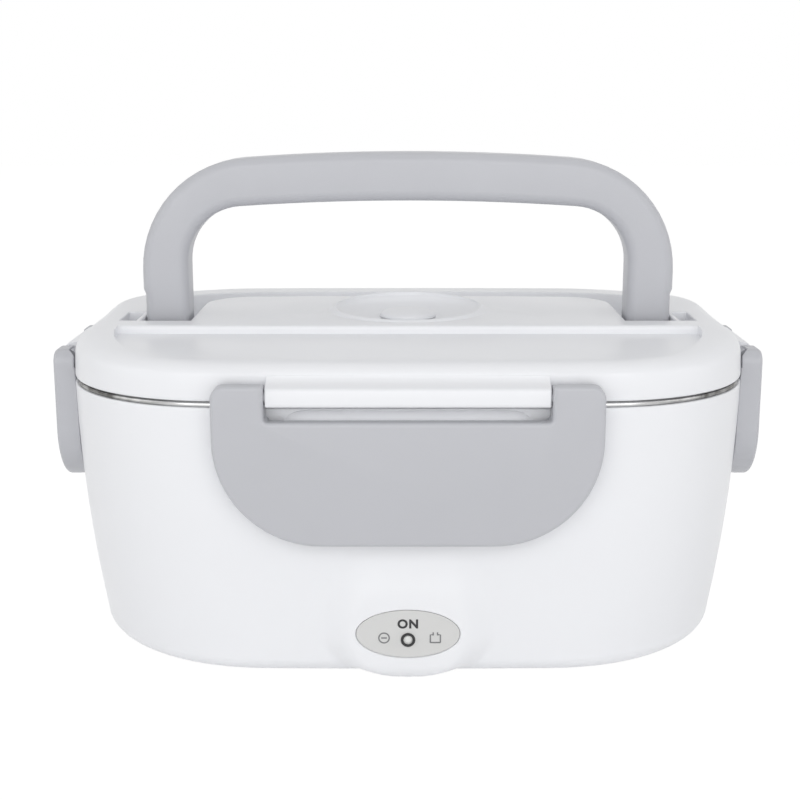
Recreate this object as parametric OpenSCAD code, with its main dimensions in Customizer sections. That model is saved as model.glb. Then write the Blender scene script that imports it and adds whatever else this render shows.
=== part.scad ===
// Electric lunch box with a lift-out steel container, a latched lid and a folding carry handle.
// Frame: millimetres, X to the right, Y to the back, Z up, origin on the floor under the middle.

/* [Tub] */
// Length of the rim, left to right
rim_len = 222; // [200:1:260]
// Depth of the rim, front to back
rim_dep = 157; // [140:1:180]
// Corner radius of the rim
rim_corner = 52.4; // [42:0.1:58]
// How far each side leans in from the rim down to the base
lean = 4.8; // [2:0.1:8]
// How much larger the corner radius is at the base than at the rim
corner_growth = 8.4; // [0:0.1:9]
// Angle that each side arc turns through, so that the sides bow outwards
side_bow = 1.35; // [0.8:0.05:2.5]
// How far the wall swells at mid height
belly = 1.3; // [0:0.1:3]
// Height of the tub's rim over the table
tub_top = 88.9; // [80:0.1:110]
// Height of the shell's lower edge over the table
ground_gap = 1.2; // [1:0.1:4]
// Radius that rounds the bottom edge
base_round = 6; // [5:0.5:10]
// Thickness of the outer wall
wall = 2.4; // [1.8:0.1:3]
// Height of the inner floor's top face
floor_top = 24; // [22.5:0.5:28]
// Thickness of the inner floor
floor_t = 2; // [1.5:0.1:3]

/* [Lamp and inlet bosses] */
// How far the flat of a boss stands out past the rim
boss_out = 1.3; // [0.8:0.1:3]
// Half width of the lamp boss's flat
boss_half = 17; // [16.5:0.5:20]
// Half height of the lamp boss's flat
boss_rise = 15.5; // [12:0.5:17]
// Width over which the lamp boss fades into the wall
lamp_fade = 12; // [8:0.5:16]
// Half width of the inlet boss on the back
inlet_boss_half = 26; // [24:0.5:30]
// Width over which the inlet boss fades into the wall
boss_fade = 7; // [5:0.5:10]
// Height up to which the inlet boss is full
boss_full = 27; // [26:1:32]
// Height at which a boss has faded out
boss_end = 46; // [38:1:47]
// Height of the lamp panel's middle
panel_z = 17.4; // [16:0.1:20]
// Width of the oval lamp panel
panel_len = 32.2; // [28:0.1:36]
// Height of the oval lamp panel
panel_h = 15.5; // [14:0.1:17]
// Thickness of the lamp panel
panel_t = 1.2; // [0.8:0.1:2]
// How far the panel's pad stands proud of the boss
pad_proud = 0.3; // [0.2:0.1:1]
// Diameter of the lamp
led_d = 3; // [2:0.1:5]
// Outer diameter of the lamp's ring
bezel_d = 4.5; // [4:0.1:6]
// Height of the lamp's middle over the table
led_z = 15.5; // [14:0.1:18]

/* [Power inlets] */
// Sideways place of the mains inlet
mains_x = -11; // [-13:0.5:-10]
// Sideways place of the car socket
car_x = 13; // [11:0.5:15]
// Height of both inlets' middles
inlet_z = 15.2; // [14.6:0.1:15.2]
// Width of the mains inlet's cavity
mains_len = 15.6; // [15:0.1:17]
// Height of the mains inlet's cavity
mains_h = 9.2; // [8.5:0.1:10]
// Depth of the mains inlet's cavity
mains_deep = 11; // [9:0.5:13]
// Distance between the two mains pins
pin_pitch = 8.6; // [8:0.1:9]
// Diameter of a mains pin
pin_d = 2.4; // [2:0.1:2.6]
// Length of a mains pin inside its cavity
pin_len = 8; // [6:0.5:9]
// Bore of the car socket
car_bore = 6.2; // [5:0.1:7]
// Diameter of the car socket's pin
car_pin_d = 2.1; // [1.5:0.1:2.5]
// Depth of the car socket's bore
car_deep = 9; // [7:0.5:10]

/* [Steel container] */
// Diameter of the rolled rim
bead_d = 1.6; // [1.2:0.1:2.4]
// Thickness of the steel sheet
sheet = 0.6; // [0.5:0.1:1]
// From the rim's outline to the outside of the container's wall
steel_inset = 5.9; // [5:0.1:7]
// How much further in the wall lies at the bottom
steel_draft = 4; // [2:0.5:8]
// Radius between the container's wall and bottom
steel_round = 12; // [8:0.5:16]

/* [Lid] */
// Gap between the steel rim and the lid's lower edge
rim_gap = 0.3; // [0.2:0.1:1]
// Height of the lid over its lower edge
lid_h = 14.6; // [14:0.1:18]
// Height of the upright part of the lid's skirt
skirt_h = 7.6; // [6:0.1:9]
// Width of the rounded shoulder
shoulder = 8; // [5:0.5:10]
// Wall thickness of the lid
lid_wall = 2.4; // [2:0.1:3]
// How far the top falls towards the front
front_fall = 3; // [2:0.1:4]
// How far the top falls towards the back
back_fall = 1.2; // [0.5:0.1:2]
// Width of the rounded shoulder round the back
back_shoulder = 5; // [4:0.5:8]
// Place of the step across the front of the top
step_y = -26; // [-30:0.5:-22]
// From the rim's end to the end of that step
step_side = 14; // [13:0.5:21]
// Floor of the recess in front of the step, under the top
recess_deep = 2.8; // [2:0.1:3.5]
// Corner radius of that recess
recess_corner = 52; // [44:0.5:54]
// Thickness of the seal
seal_t = 2.5; // [2:0.1:3]
// Thickness of the inner lid
liner_t = 1.8; // [1.4:0.1:2.5]

/* [Vent] */
// Place of the vent, front to back
vent_y = 8; // [0:0.5:12]
// Foot diameter of the crater around the vent
crater_d = 56; // [50:1:60]
// Height of the crater's lip over the top
lip_h = 1.8; // [1:0.1:3]
// Angle that lifts the back of the crater
crater_tilt = 2.4; // [0:0.1:4]
// Diameter of the crater's flat floor
bowl_d = 34; // [30:0.5:38]
// Depth of the crater's floor under the top
bowl_deep = 2; // [0.8:0.1:2.6]
// Diameter of the vent knob
knob_d = 20; // [16:0.5:24]
// Height of the vent knob
knob_h = 2.6; // [2:0.1:4]
// Diameter of the vent hole
vent_d = 10; // [8:0.5:12]

/* [Carry handle] */
// From the rim's end to the handle's leg
handle_side = 19.1; // [16:0.1:26]
// From the rim's back to the folded handle
handle_back = 16.3; // [14.5:0.1:18.5]
// Width of a leg
leg_w = 15.8; // [12:0.1:17]
// Height of the grip bar at its middle
grip_h = 16.4; // [14:0.1:18]
// Depth of the handle, front to back
handle_dep = 16; // [13:0.5:16]
// Outer corner radius
handle_corner = 38.5; // [30:0.1:40]
// Inner corner radius
grip_corner = 19.5; // [16:0.1:23]
// Rise of the grip's middle over its ends
crown = 1.9; // [1:0.1:3]
// Radius of the handle's long edges
handle_edge = 3.6; // [2:0.1:5]
// How far a leg steps in near the lid
leg_step = 0.7; // [0.3:0.1:1]
// Diameter of the handle's stubs
stub_d = 6; // [5:0.1:7]

/* [Latches] */
// Width of the front and back latches
latch_len = 117.2; // [104:0.2:124]
// Half width of the lid's front and back tabs
tab_half = 42.4; // [32:0.2:44]
// Width of the side latches
side_latch_len = 57.5; // [54:0.5:66]
// Half width of the lid's side tabs
side_tab_half = 16.6; // [14:0.2:18]
// Height of the front and back latches below their pins
latch_drop = 45.7; // [42:0.1:46]
// Height of the side latches below their pins
side_latch_drop = 43; // [40:0.1:50]
// Height of a latch above its pins
latch_up = 3.8; // [3.5:0.1:4]
// From the lid's side to the latch pins
pin_out = 4.3; // [4.2:0.1:5]
// From the latch pins to the latch's outer face
face_out = 3.6; // [3.4:0.1:4]
// Thickness of a latch
latch_t = 2.2; // [1.8:0.1:2.8]
// Lower corner radius of the front and back latches
latch_corner = 32.5; // [20:0.5:34]
// Lower corner radius of the side latches
side_latch_corner = 20; // [14:0.5:24]
// Upper corner radius of every latch
latch_top_corner = 4.3; // [2:0.1:6]
// From the latch pins down to the slot's lower edge
slot_drop = 7.2; // [5:0.1:8]
// Diameter of the latch pins
latch_pin_d = 3.2; // [2.6:0.1:3.4]

/* [Heater] */
// Length of the heating plate
plate_len = 140; // [132:1:150]
// Depth of the heating plate
plate_dep = 92; // [86:1:100]
// Thickness of the heating plate
plate_t = 2; // [1.5:0.1:2.2]
// Thickness of the gasket under the heating plate
gasket_t = 0.8; // [0.5:0.1:1.2]
// Length of a heater
heater_len = 72; // [60:1:76]
// Width of a heater
heater_w = 22; // [16:0.5:23]
// Thickness of a heater
heater_t = 5.5; // [4:0.1:5.5]
// Thickness of the insulating sheet
mica_t = 0.8; // [0.4:0.1:1]
// Thickness of the clamp plate
clamp_t = 1.2; // [0.8:0.1:1.5]

/* [Base] */
// Thickness of the bottom cover
cover_t = 2.2; // [1.8:0.1:2.6]
// Diameter of a rubber foot
foot_d = 14; // [10:0.5:16]
// Diameter of a screw
screw_d = 3; // [2.5:0.1:3.5]
// Diameter of a screw's head
head_d = 5.6; // [5:0.1:6.5]

/* [Clearances] */
// Gap all round a piece that drops into a recess
fit_gap = 0.3; // [0.2:0.05:0.5]
// Radial play of a pin that turns in its bore
turn_gap = 0.08; // [0.04:0.01:0.1]
// Gap between the handle and its channel
handle_gap = 0.4; // [0.4:0.1:1]
// Gap between the handle and the island inside it
island_gap = 1.5; // [1:0.1:2.5]

/* [Hidden] */
$fn = 48;

white = "#f0f0f1";
grey = "#c2c4c7";
eps = 0.01;

// Base of the tub and flats of the bosses
base_len = rim_len - 2 * lean;
base_dep = rim_dep - 2 * lean;
base_corner = rim_corner + corner_growth;
boss_reach = rim_dep / 2 + boss_out;

// Step and handle, which follow the rim
step_half = rim_len / 2 - step_side;
handle_len = rim_len - 2 * handle_side;
handle_rise = rim_dep / 2 - handle_back;

// Heights of the stack on the rim
steel_top = tub_top + bead_d;
lid_z0 = steel_top + rim_gap;
lid_top = lid_z0 + lid_h;
skirt_z = lid_z0 + skirt_h;
wall_foot = ground_gap + base_round;
floor_low = floor_top - floor_t;
plate_z0 = floor_top + gasket_t;
plate_z1 = plate_z0 + plate_t;
steel_z0 = plate_z1 + fit_gap;

// Hinge lines
latch_z = lid_z0 + 2.6;
handle_z = lid_top - 5.9;
channel_z = handle_z - handle_dep / 2 - fit_gap;

// ---------------------------------------------------------------- outline of the tub and lid
// Radii of the short and the long side arcs that meet corner arcs of radius r tangentially
function side_radii(a, b, r) =
    let (c = cos(side_bow), s = sin(side_bow),
         k1 = a - r * c + r * s,
         k2 = b - r * c + r * s,
         det = (1 - c) * (1 - c) - s * s)
    [(k1 * (1 - c) - s * k2) / det, ((1 - c) * k2 - s * k1) / det];

// Point with outward normal at angle t on the first quarter of the outline
function outline_point(a, b, r, t) =
    let (rad = side_radii(a, b, r),
         centre = [a - rad[0] + (rad[0] - r) * cos(side_bow), (rad[0] - r) * sin(side_bow)])
    t <= side_bow ? [a - rad[0] + rad[0] * cos(t), rad[0] * sin(t)] :
    t >= 90 - side_bow ? [rad[1] * cos(t), b - rad[1] + rad[1] * sin(t)] :
    centre + r * [cos(t), sin(t)];

// Stations along the quarter: few for plain pieces, many where a boss needs them
fine_stations = concat([0, side_bow / 2],
    [for (i = [0:9]) side_bow + i * (90 - 2 * side_bow) / 10],
    [for (f = [1, 0.85, 0.72, 0.66, 0.6, 0.54, 0.48, 0.42, 0.36, 0.3, 0.24, 0.18, 0.12, 0.06, 0])
        90 - side_bow * f]);
plain_stations = concat([0],
    [for (i = [0:8]) side_bow + i * (90 - 2 * side_bow) / 9],
    [for (f = [1, 0.5, 0]) 90 - side_bow * f]);

// Whole outline, anticlockwise seen from above
function outline(a, b, r, stations) =
    let (q = [for (t = stations) outline_point(a, b, r, t)], n = len(q))
    concat(q,
           [for (i = [n - 2:-1:0]) [-q[i][0], q[i][1]]],
           [for (i = [1:n - 1]) [-q[i][0], -q[i][1]]],
           [for (i = [n - 2:-1:1]) [q[i][0], -q[i][1]]]);

// Outline of the rim, moved inwards
function rim_outline(inset) =
    outline(rim_len / 2 - inset, rim_dep / 2 - inset, rim_corner - inset, plain_stations);

// Half length, half depth and corner radius of the tub at height z
function tub_size(z) =
    let (t = (z - wall_foot) / (tub_top - wall_foot), u = max(t, 0), swell = 4 * belly * u * (1 - u))
    [base_len / 2 + (rim_len - base_len) / 2 * u + swell,
     base_dep / 2 + (rim_dep - base_dep) / 2 * u + swell,
     base_corner + (rim_corner - base_corner) * u];

function smooth(t) = let (u = min(max(t, 0), 1)) u * u * (3 - 2 * u);

// Half width of the lamp boss's oval flat at height z
function lamp_half(z) = boss_half * sqrt(max(1 - pow((z - panel_z) / boss_rise, 2), 0));

// How far the lamp boss has come out of the wall at a point: 1 on its flat, 0 outside it
function lamp_share(x, z) = z < panel_z
    ? 1 - smooth((abs(x) - lamp_half(z)) / lamp_fade)
    : let (aside = max(abs(x) - boss_half + lamp_fade * 2 / 3, 0) * 0.6 / lamp_fade,
           above = (z - panel_z) / (boss_end - panel_z))
      1 - smooth((norm([aside, above]) - 0.4) / 0.6);

// The same for the inlet boss on the back
function inlet_share(x, z) = (1 - smooth((abs(x) - inlet_boss_half) / boss_fade))
    * (1 - smooth((z - boss_full) / (boss_end - boss_full)));

// Pushes a wall point at height z out to the flat of a boss
function bossed(p, z, inset) =
    let (share = p[1] < 0 ? lamp_share(p[0], z) : inlet_share(p[0], z), reach = boss_reach - inset)
    abs(p[1]) < reach && abs(p[1]) > base_dep / 4
        ? [p[0], sign(p[1]) * (abs(p[1]) + (reach - abs(p[1])) * share), z]
        : [p[0], p[1], z];

// Ring of the tub's wall at height z
function tub_ring(z, inset) =
    let (s = tub_size(z))
    [for (p = outline(s[0] - inset, s[1] - inset, s[2] - inset, fine_stations)) bossed(p, z, inset)];

// Edge of the opening in the bottom, which stays straight behind the bosses
function lip_ring(z) =
    let (s = tub_size(0)) at_z(outline(s[0] - lip_in, s[1] - lip_in, s[2] - lip_in, fine_stations), z);

// ---------------------------------------------------------------- general shapes
// Skin over rings of equal length that run upwards; a closed skin joins the last ring to the first
module skin(rings, closed = false) {
    n = len(rings[0]);
    m = len(rings);
    steps = closed ? m - 1 : m - 2;
    sides = [for (k = [0:steps]) for (i = [0:n - 1])
        let (a = k * n + i, b = k * n + (i + 1) % n, c = ((k + 1) % m) * n + (i + 1) % n, d = ((k + 1) % m) * n + i)
        each [[a, c, b], [a, d, c]]];
    caps = closed ? [] : [[for (i = [0:n - 1]) i], [for (i = [n - 1:-1:0]) (m - 1) * n + i]];
    polyhedron([for (ring = rings) each ring], concat(sides, caps), convexity = 8);
}

function at_z(points, z) = [for (p = points) [p[0], p[1], z]];

// Rectangle with round corners, as an outline
function round_rect(x, y, r) =
    [for (q = [[1, 1, 0], [-1, 1, 90], [-1, -1, 180], [1, -1, 270]]) for (i = [0:6])
        [q[0] * (x / 2 - r) + r * cos(q[2] + i * 15), q[1] * (y / 2 - r) + r * sin(q[2] + i * 15)]];

// Prism over an outline, from z0 to z1
module prism(points, z0, z1) {
    translate([0, 0, z0]) linear_extrude(z1 - z0) polygon(points);
}

// Cylinder of radius r from point a, of the length and direction of v along one axis
module rod_x(x0, x1, y, z, r) { translate([x0, y, z]) rotate([0, 90, 0]) cylinder(r = r, h = x1 - x0); }
module rod_y(y0, y1, x, z, r) { translate([x, y0, z]) rotate([-90, 0, 0]) cylinder(r = r, h = y1 - y0); }
module rod_z(z0, z1, x, y, r) { translate([x, y, z0]) cylinder(r = r, h = z1 - z0); }

// Copies at the four corners of a rectangle
module at_corners(x, y) {
    for (sx = [-1, 1]) for (sy = [-1, 1]) translate([sx * x, sy * y, 0]) children();
}

// ---------------------------------------------------------------- tub
inner_round = base_round - wall;
lip_in = base_round + 2;
cover_top = ground_gap + cover_t;
pad_top = cover_top + 2;
cover_screw_at = [rim_len / 2 - 27, rim_dep / 2 - 48.5];
cover_boss_r = 4.2;
foot_at = [rim_len / 2 - 47, rim_dep / 2 - 34.5];
plate_screw_at = [plate_len / 2 - 5.5, plate_dep / 2 - 6];
plate_stud_r = 3;
opening = [plate_len - 24, plate_dep - 24];
catch_h = 2.4;
catch_z = latch_z - slot_drop - catch_h - 0.2;
catch_out = 2.1;
catch_ramp = 2.4;

function outer_rings() = concat(
    [for (i = [0:4]) let (t = i * 18)
        tub_ring(wall_foot - base_round * cos(t), base_round * (1 - sin(t)))],
    [for (z = [wall_foot, 12, panel_z, 23, boss_full, 32, 37, 42, boss_end, 56, 67, 78, tub_top]) tub_ring(z, 0)]);

function inner_rings() = concat(
    [for (z = [tub_top, 67, boss_end, 42, 37, 32, boss_full, panel_z, 12, wall_foot]) tub_ring(z, wall)],
    [tub_ring(wall_foot - inner_round * 0.7, wall + inner_round * 0.3),
     tub_ring(wall_foot - inner_round, wall + inner_round),
     lip_ring(wall_foot - inner_round),
     lip_ring(ground_gap)]);

// Flat oval pad for the lamp panel and flat pad for the inlets
panel_face = boss_reach + pad_proud;
module oval(len, height, t) {
    scale([len / height, 1, 1]) cylinder(d = height, h = t);
}
module facing_front(y, x = 0, z = 0) { translate([x, -y, z]) rotate([90, 0, 0]) children(); }
module facing_back(y, x = 0, z = 0) { translate([x, y, z]) rotate([-90, 0, 0]) children(); }

// Stepped bore for one inlet: the body's sleeve through the wall
mains_body = [mains_len + 3.6, mains_h + 3.6];
car_body_d = car_bore + 4;

// Catch with a sloped top, seen along the side it stands on
module catch_rib(half, reach) {
    top = catch_z + catch_h;
    rotate([90, 0, 90]) translate([0, 0, -half]) linear_extrude(2 * half) polygon([
        [wall / 2 - reach, catch_z], [wall / 2 - reach, top + catch_ramp], [-reach, top + catch_ramp],
        [-reach - catch_out, top], [-reach - catch_out, catch_z]]);
}

module outer_shell() color(white) difference() {
    union() {
        skin(concat(outer_rings(), inner_rings()), closed = true);
        // inner floor
        prism(outline(tub_size(floor_top)[0] - wall / 2, tub_size(floor_top)[1] - wall / 2,
                      tub_size(floor_top)[2] - wall / 2, plain_stations), floor_low, floor_top);
        // bosses for the cover's screws
        at_corners(cover_screw_at[0], cover_screw_at[1])
            rod_z(pad_top, floor_low + eps, 0, 0, cover_boss_r);
        // catches that the latches snap under
        for (turn = [0, 180]) rotate(turn) catch_rib(tab_half - 5, rim_dep / 2 + 0.2);
        for (turn = [90, 270]) rotate(turn) catch_rib(side_tab_half - 3, rim_len / 2 + 0.2);
        // pads on the bosses
        facing_front(boss_reach - wall / 2, 0, panel_z) oval(panel_len + 2.6, panel_h + 2.6, wall / 2 + pad_proud);
        facing_back(boss_reach - wall / 2, (mains_x + car_x) / 2, inlet_z)
            linear_extrude(wall / 2 + pad_proud) polygon(round_rect(48, 18, 5));
    }
    // opening over the heaters, and holes for the plate's studs
    prism(round_rect(opening[0], opening[1], 8), floor_low - 1, floor_top + 1);
    at_corners(plate_screw_at[0], plate_screw_at[1])
        rod_z(floor_low - 1, floor_top + 1, 0, 0, plate_stud_r + fit_gap);
    // pilot holes in the screw bosses
    at_corners(cover_screw_at[0], cover_screw_at[1])
        rod_z(pad_top - 1, pad_top + 10, 0, 0, screw_d / 2 - 0.05);
    // recess for the lamp panel and the hole for the lamp
    facing_front(panel_face - panel_t, 0, panel_z)
        oval(panel_len + 2 * fit_gap, panel_h + 2 * fit_gap, panel_t + 1);
    facing_front(boss_reach - wall - 1, 0, led_z) cylinder(d = led_d + 1, h = wall + 2);
    // holes for the inlets
    facing_back(boss_reach - wall - 3, mains_x, inlet_z)
        linear_extrude(wall + 5) polygon(round_rect(mains_body[0] + 2 * turn_gap, mains_body[1] + 2 * turn_gap, 4));
    facing_back(boss_reach - wall - 3, car_x, inlet_z) cylinder(d = car_body_d + 2 * turn_gap, h = wall + 5);
}

module bottom_cover() color(white) difference() {
    union() {
        prism(outline(tub_size(0)[0] - lip_in - fit_gap, tub_size(0)[1] - lip_in - fit_gap,
                      tub_size(0)[2] - lip_in - fit_gap, plain_stations), ground_gap, cover_top);
        at_corners(cover_screw_at[0], cover_screw_at[1]) rod_z(cover_top - eps, pad_top, 0, 0, head_d / 2 + 2.4);
        at_corners(foot_at[0], foot_at[1]) rod_z(cover_top - eps, cover_top + 1, 0, 0, foot_d / 2 + 1.5);
    }
    at_corners(cover_screw_at[0], cover_screw_at[1]) {
        rod_z(ground_gap - 1, ground_gap + 2.6, 0, 0, head_d / 2 + fit_gap);
        rod_z(ground_gap, pad_top + 1, 0, 0, screw_d / 2 + 0.2);
    }
    at_corners(foot_at[0], foot_at[1]) rod_z(ground_gap - 1, ground_gap + 1.5, 0, 0, foot_d / 2 + turn_gap);
}

module rubber_feet() color("#4a4a4c") at_corners(foot_at[0], foot_at[1])
    rotate_extrude() polygon([[0, 0], [foot_d / 2 - 0.8, 0], [foot_d / 2, 0.8], [foot_d / 2, ground_gap + 1.5],
                              [0, ground_gap + 1.5]]);

// Pan-head screw that points upwards from z
module screw(z, len) {
    rod_z(z, z + 1.6, 0, 0, head_d / 2);
    rod_z(z + 1.6 - eps, z + len, 0, 0, screw_d / 2 - 0.1);
}

module cross_slot(z) {
    for (turn = [0, 90]) rotate(turn) translate([-1.4, -0.35, z - 1]) cube([2.8, 0.7, 1.8]);
}

module cover_screws() color("silver") at_corners(cover_screw_at[0], cover_screw_at[1]) difference() {
    screw(ground_gap + 1, 10);
    cross_slot(ground_gap + 1);
}

// ---------------------------------------------------------------- heater pack
mica_z = plate_z0 - heater_t - mica_t;
clamp_z = mica_z - clamp_t;
clamp_screw_at = [46, 22];
heater_y = heater_w / 2 + 2;

module heating_plate() color("#c9ccd0") difference() {
    union() {
        prism(round_rect(plate_len, plate_dep, 8), plate_z0, plate_z1);
        at_corners(plate_screw_at[0], plate_screw_at[1]) rod_z(floor_low, plate_z0 + eps, 0, 0, plate_stud_r);
        at_corners(clamp_screw_at[0], clamp_screw_at[1]) rod_z(mica_z, plate_z0 + eps, 0, 0, plate_stud_r);
    }
    at_corners(plate_screw_at[0], plate_screw_at[1]) rod_z(floor_low - 1, plate_z0 + 0.8, 0, 0, screw_d / 2 - 0.05);
    at_corners(clamp_screw_at[0], clamp_screw_at[1]) rod_z(mica_z - 1, plate_z0 + 0.8, 0, 0, screw_d / 2 - 0.05);
}

module plate_gasket() color("#d8d8d8") difference() {
    prism(round_rect(plate_len, plate_dep, 8), floor_top, plate_z0);
    prism(round_rect(opening[0] + 1, opening[1] + 1, 8), floor_top - 1, plate_z0 + 1);
    at_corners(plate_screw_at[0], plate_screw_at[1])
        rod_z(floor_top - 1, plate_z0 + 1, 0, 0, plate_stud_r + fit_gap);
}

// Washer-head screws that pull the plate's studs down on the floor
module plate_screws() color("silver") at_corners(plate_screw_at[0], plate_screw_at[1]) difference() {
    union() {
        rod_z(floor_low - 0.8, floor_low, 0, 0, plate_stud_r + 1.8);
        translate([0, 0, -0.8 + eps]) screw(floor_low - 1.6, 4.6);
    }
    cross_slot(floor_low - 2.4);
}

module heater_block(y) {
    translate([-heater_len / 2, y - heater_w / 2, plate_z0 - heater_t]) cube([heater_len, heater_w, heater_t]);
}

module mains_heater() color("#b9bcc0") heater_block(heater_y);
module car_heater() color("#b9bcc0") heater_block(-heater_y);

module insulating_sheet() color("#cdbb93")
    prism(round_rect(2 * (clamp_screw_at[0] - plate_stud_r) - 2, 4 * heater_y + 2, 2), mica_z, mica_z + mica_t);

module heater_clamp() color("#a9adb2") difference() {
    prism(round_rect(2 * clamp_screw_at[0] + 10, 2 * clamp_screw_at[1] + 12, 3), clamp_z, mica_z);
    at_corners(clamp_screw_at[0], clamp_screw_at[1]) rod_z(clamp_z - 1, mica_z + 1, 0, 0, screw_d / 2 + 0.2);
}

module clamp_screws() color("silver") at_corners(clamp_screw_at[0], clamp_screw_at[1]) difference() {
    screw(clamp_z - 1.6, 7.6);
    cross_slot(clamp_z - 1.6);
}

// Snap-disc thermostat under the clamp, with two terminals
thermostat_r = 8;
thermostat_h = 6;
module thermostat() color("#2b2b2d") {
    rod_z(clamp_z - thermostat_h, clamp_z, 0, 0, thermostat_r);
    for (side = [-1, 1]) translate([side * 8 - 3, -3, clamp_z - thermostat_h + 1]) cube([6, 6, 0.8]);
}

fuse_r = 2.1;
module thermal_fuse() color("#b08d3c") rod_x(-6, 6, 16, clamp_z - fuse_r, fuse_r);

// ---------------------------------------------------------------- lamp
board_y = -boss_reach + wall + 6;
board_t = 1.6;
module lamp_board() color("#2f6b3c")
    translate([-12, board_y, led_z - 6]) cube([24, board_t, 11]);

module indicator_led() color("#e8e4da") {
    rod_y(-panel_face - 0.6, board_y, 0, led_z, led_d / 2);
    rod_y(board_y - 1.2, board_y, 0, led_z, led_d / 2 + 0.5);
}

module led_bezel() color("#1c1c1e") difference() {
    rod_y(-panel_face - 0.9, -panel_face + panel_t, 0, led_z, bezel_d / 2);
    rod_y(-panel_face - 1, -panel_face + panel_t + 1, 0, led_z, led_d / 2 + 0.05);
}

module lamp_panel() color("#d8d9d6") difference() {
    facing_front(panel_face - panel_t, 0, panel_z) oval(panel_len, panel_h, panel_t);
    rod_y(-panel_face - 1, -panel_face + panel_t + 1, 0, led_z, bezel_d / 2 + 0.05);
}

// ---------------------------------------------------------------- power inlets
inlet_back = 15;

// Figure-of-eight cavity
module eight(depth) {
    linear_extrude(depth) polygon(round_rect(mains_len, mains_h, mains_h / 2 - 0.1));
}

module mains_inlet() color("#2b2b2d") difference() {
    union() {
        facing_back(panel_face - inlet_back, mains_x, inlet_z)
            linear_extrude(inlet_back + 0.5) polygon(round_rect(mains_body[0], mains_body[1], 4));
        facing_back(panel_face, mains_x, inlet_z)
            linear_extrude(1) polygon(round_rect(mains_body[0] + 2, mains_body[1] + 2, 4.5));
    }
    facing_back(panel_face + 1 - mains_deep, mains_x, inlet_z) eight(mains_deep + 1);
    for (side = [-1, 1])
        rod_y(panel_face - inlet_back - 1, panel_face, mains_x + side * pin_pitch / 2, inlet_z, pin_d / 2 + 0.02);
}

module mains_pins() color("#c8b060") for (side = [-1, 1])
    rod_y(panel_face - inlet_back - 3, panel_face + 1 - mains_deep + pin_len,
          mains_x + side * pin_pitch / 2, inlet_z, pin_d / 2);

module car_socket() color("#2b2b2d") difference() {
    union() {
        rod_y(panel_face - inlet_back, panel_face + 0.5, car_x, inlet_z, car_body_d / 2);
        rod_y(panel_face, panel_face + 1, car_x, inlet_z, car_body_d / 2 + 1.2);
    }
    rod_y(panel_face + 1 - car_deep, panel_face + 2, car_x, inlet_z, car_bore / 2);
    rod_y(panel_face - inlet_back - 1, panel_face, car_x, inlet_z, car_pin_d / 2 + 0.02);
}

module car_socket_pin() color("#c8b060")
    rod_y(panel_face - inlet_back - 3, panel_face - 1, car_x, inlet_z, car_pin_d / 2);

// ---------------------------------------------------------------- wires
wire_r = 0.9;

// Tube along chosen points, with eight sides
function tube_rings(path) = [for (i = [0:len(path) - 1])
    let (back = path[max(i - 1, 0)], ahead = path[min(i + 1, len(path) - 1)], d = (ahead - back) / norm(ahead - back),
         side = cross(d, abs(d[2]) > 0.9 ? [1, 0, 0] : [0, 0, 1]), u = side / norm(side), v = cross(d, u))
    [for (k = [0:7]) path[i] - wire_r * cos(k * 45) * u + wire_r * sin(k * 45) * v]];

wire_gap = 0.35;
wire_end_y = panel_face - inlet_back - 3 - wire_gap;
wires = [
    [[mains_x - pin_pitch / 2, wire_end_y, inlet_z], [mains_x - 5, wire_end_y - 6, 13], [-24, 50, 11],
     [-34, 38, 11], [-36, 26, 13]],
    [[mains_x + pin_pitch / 2, wire_end_y, inlet_z], [mains_x + 4, wire_end_y - 6, 12], [-8, 46, 11],
     [-8, 30, 12], [-8, 20, 14]],
    [[car_x, wire_end_y, inlet_z], [car_x + 1, wire_end_y - 6, 12], [26, 46, 10], [34, 20, 9], [38, -6, 9],
     [38, -16, 12]],
    [[6, board_y + board_t + wire_gap, led_z - 1.3], [8, board_y + 9, 12], [14, -52, 11], [22, -38, 11],
     [30, -26, 12]],
];
module wiring() color("#b23b32") for (path = wires) skin(tube_rings(path));

// Closed-end caps that join wires, each just past the end of one wire
cap_r = 2.2;
module splice_caps() color("#e6e2d8") for (path = [wires[0], wires[2], wires[3]]) {
    end = path[len(path) - 1];
    run = end - path[len(path) - 2];
    way = [run[0], run[1]] / norm([run[0], run[1]]);
    rod_z(end[2] - 2.5, end[2] + 1.5, end[0] + way[0] * (cap_r + 0.5), end[1] + way[1] * (cap_r + 0.5), cap_r);
}

// ---------------------------------------------------------------- steel container
function steel_ring(z, inset) = at_z(rim_outline(inset), z);

function steel_inset_at(z) = steel_inset + steel_draft * (steel_top - z) / (steel_top - steel_z0);

function steel_rings() =
    let (r = bead_d / 2, bead_z = tub_top + r, bead_in = wall / 2, low = steel_z0 + steel_round)
    concat(
        [for (i = [3:-1:0]) let (t = i * 30)
            steel_ring(low - steel_round * sin(t), steel_inset_at(low) + steel_round * (1 - cos(t)))],
        [steel_ring(steel_top - sheet - 0.6, steel_inset),
         steel_ring(steel_top - sheet, steel_inset - 0.6)],
        [for (t = [20, -30, -90, -150, -210, -270]) steel_ring(bead_z + r * sin(t) * (t == 20 ? 0.3 : 1),
                                                               bead_in + r * cos(t))],
        [steel_ring(steel_top, steel_inset - 0.2),
         steel_ring(steel_top - 0.6, steel_inset + sheet)],
        [for (i = [0:3]) let (t = i * 30)
            steel_ring(low - (steel_round - sheet) * sin(t),
                       steel_inset_at(low) + sheet + (steel_round - sheet) * (1 - cos(t)))]);

module steel_container() color("#c5c8cb")
    skin(steel_rings());

// ---------------------------------------------------------------- lid
// Height of the lid's top at depth y
function lid_z(y) = lid_top - front_fall * smooth((step_y - 2 - y) / (rim_dep / 2 + step_y - 4))
    - back_fall * smooth((y - rim_dep / 4) / (rim_dep / 5));

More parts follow.
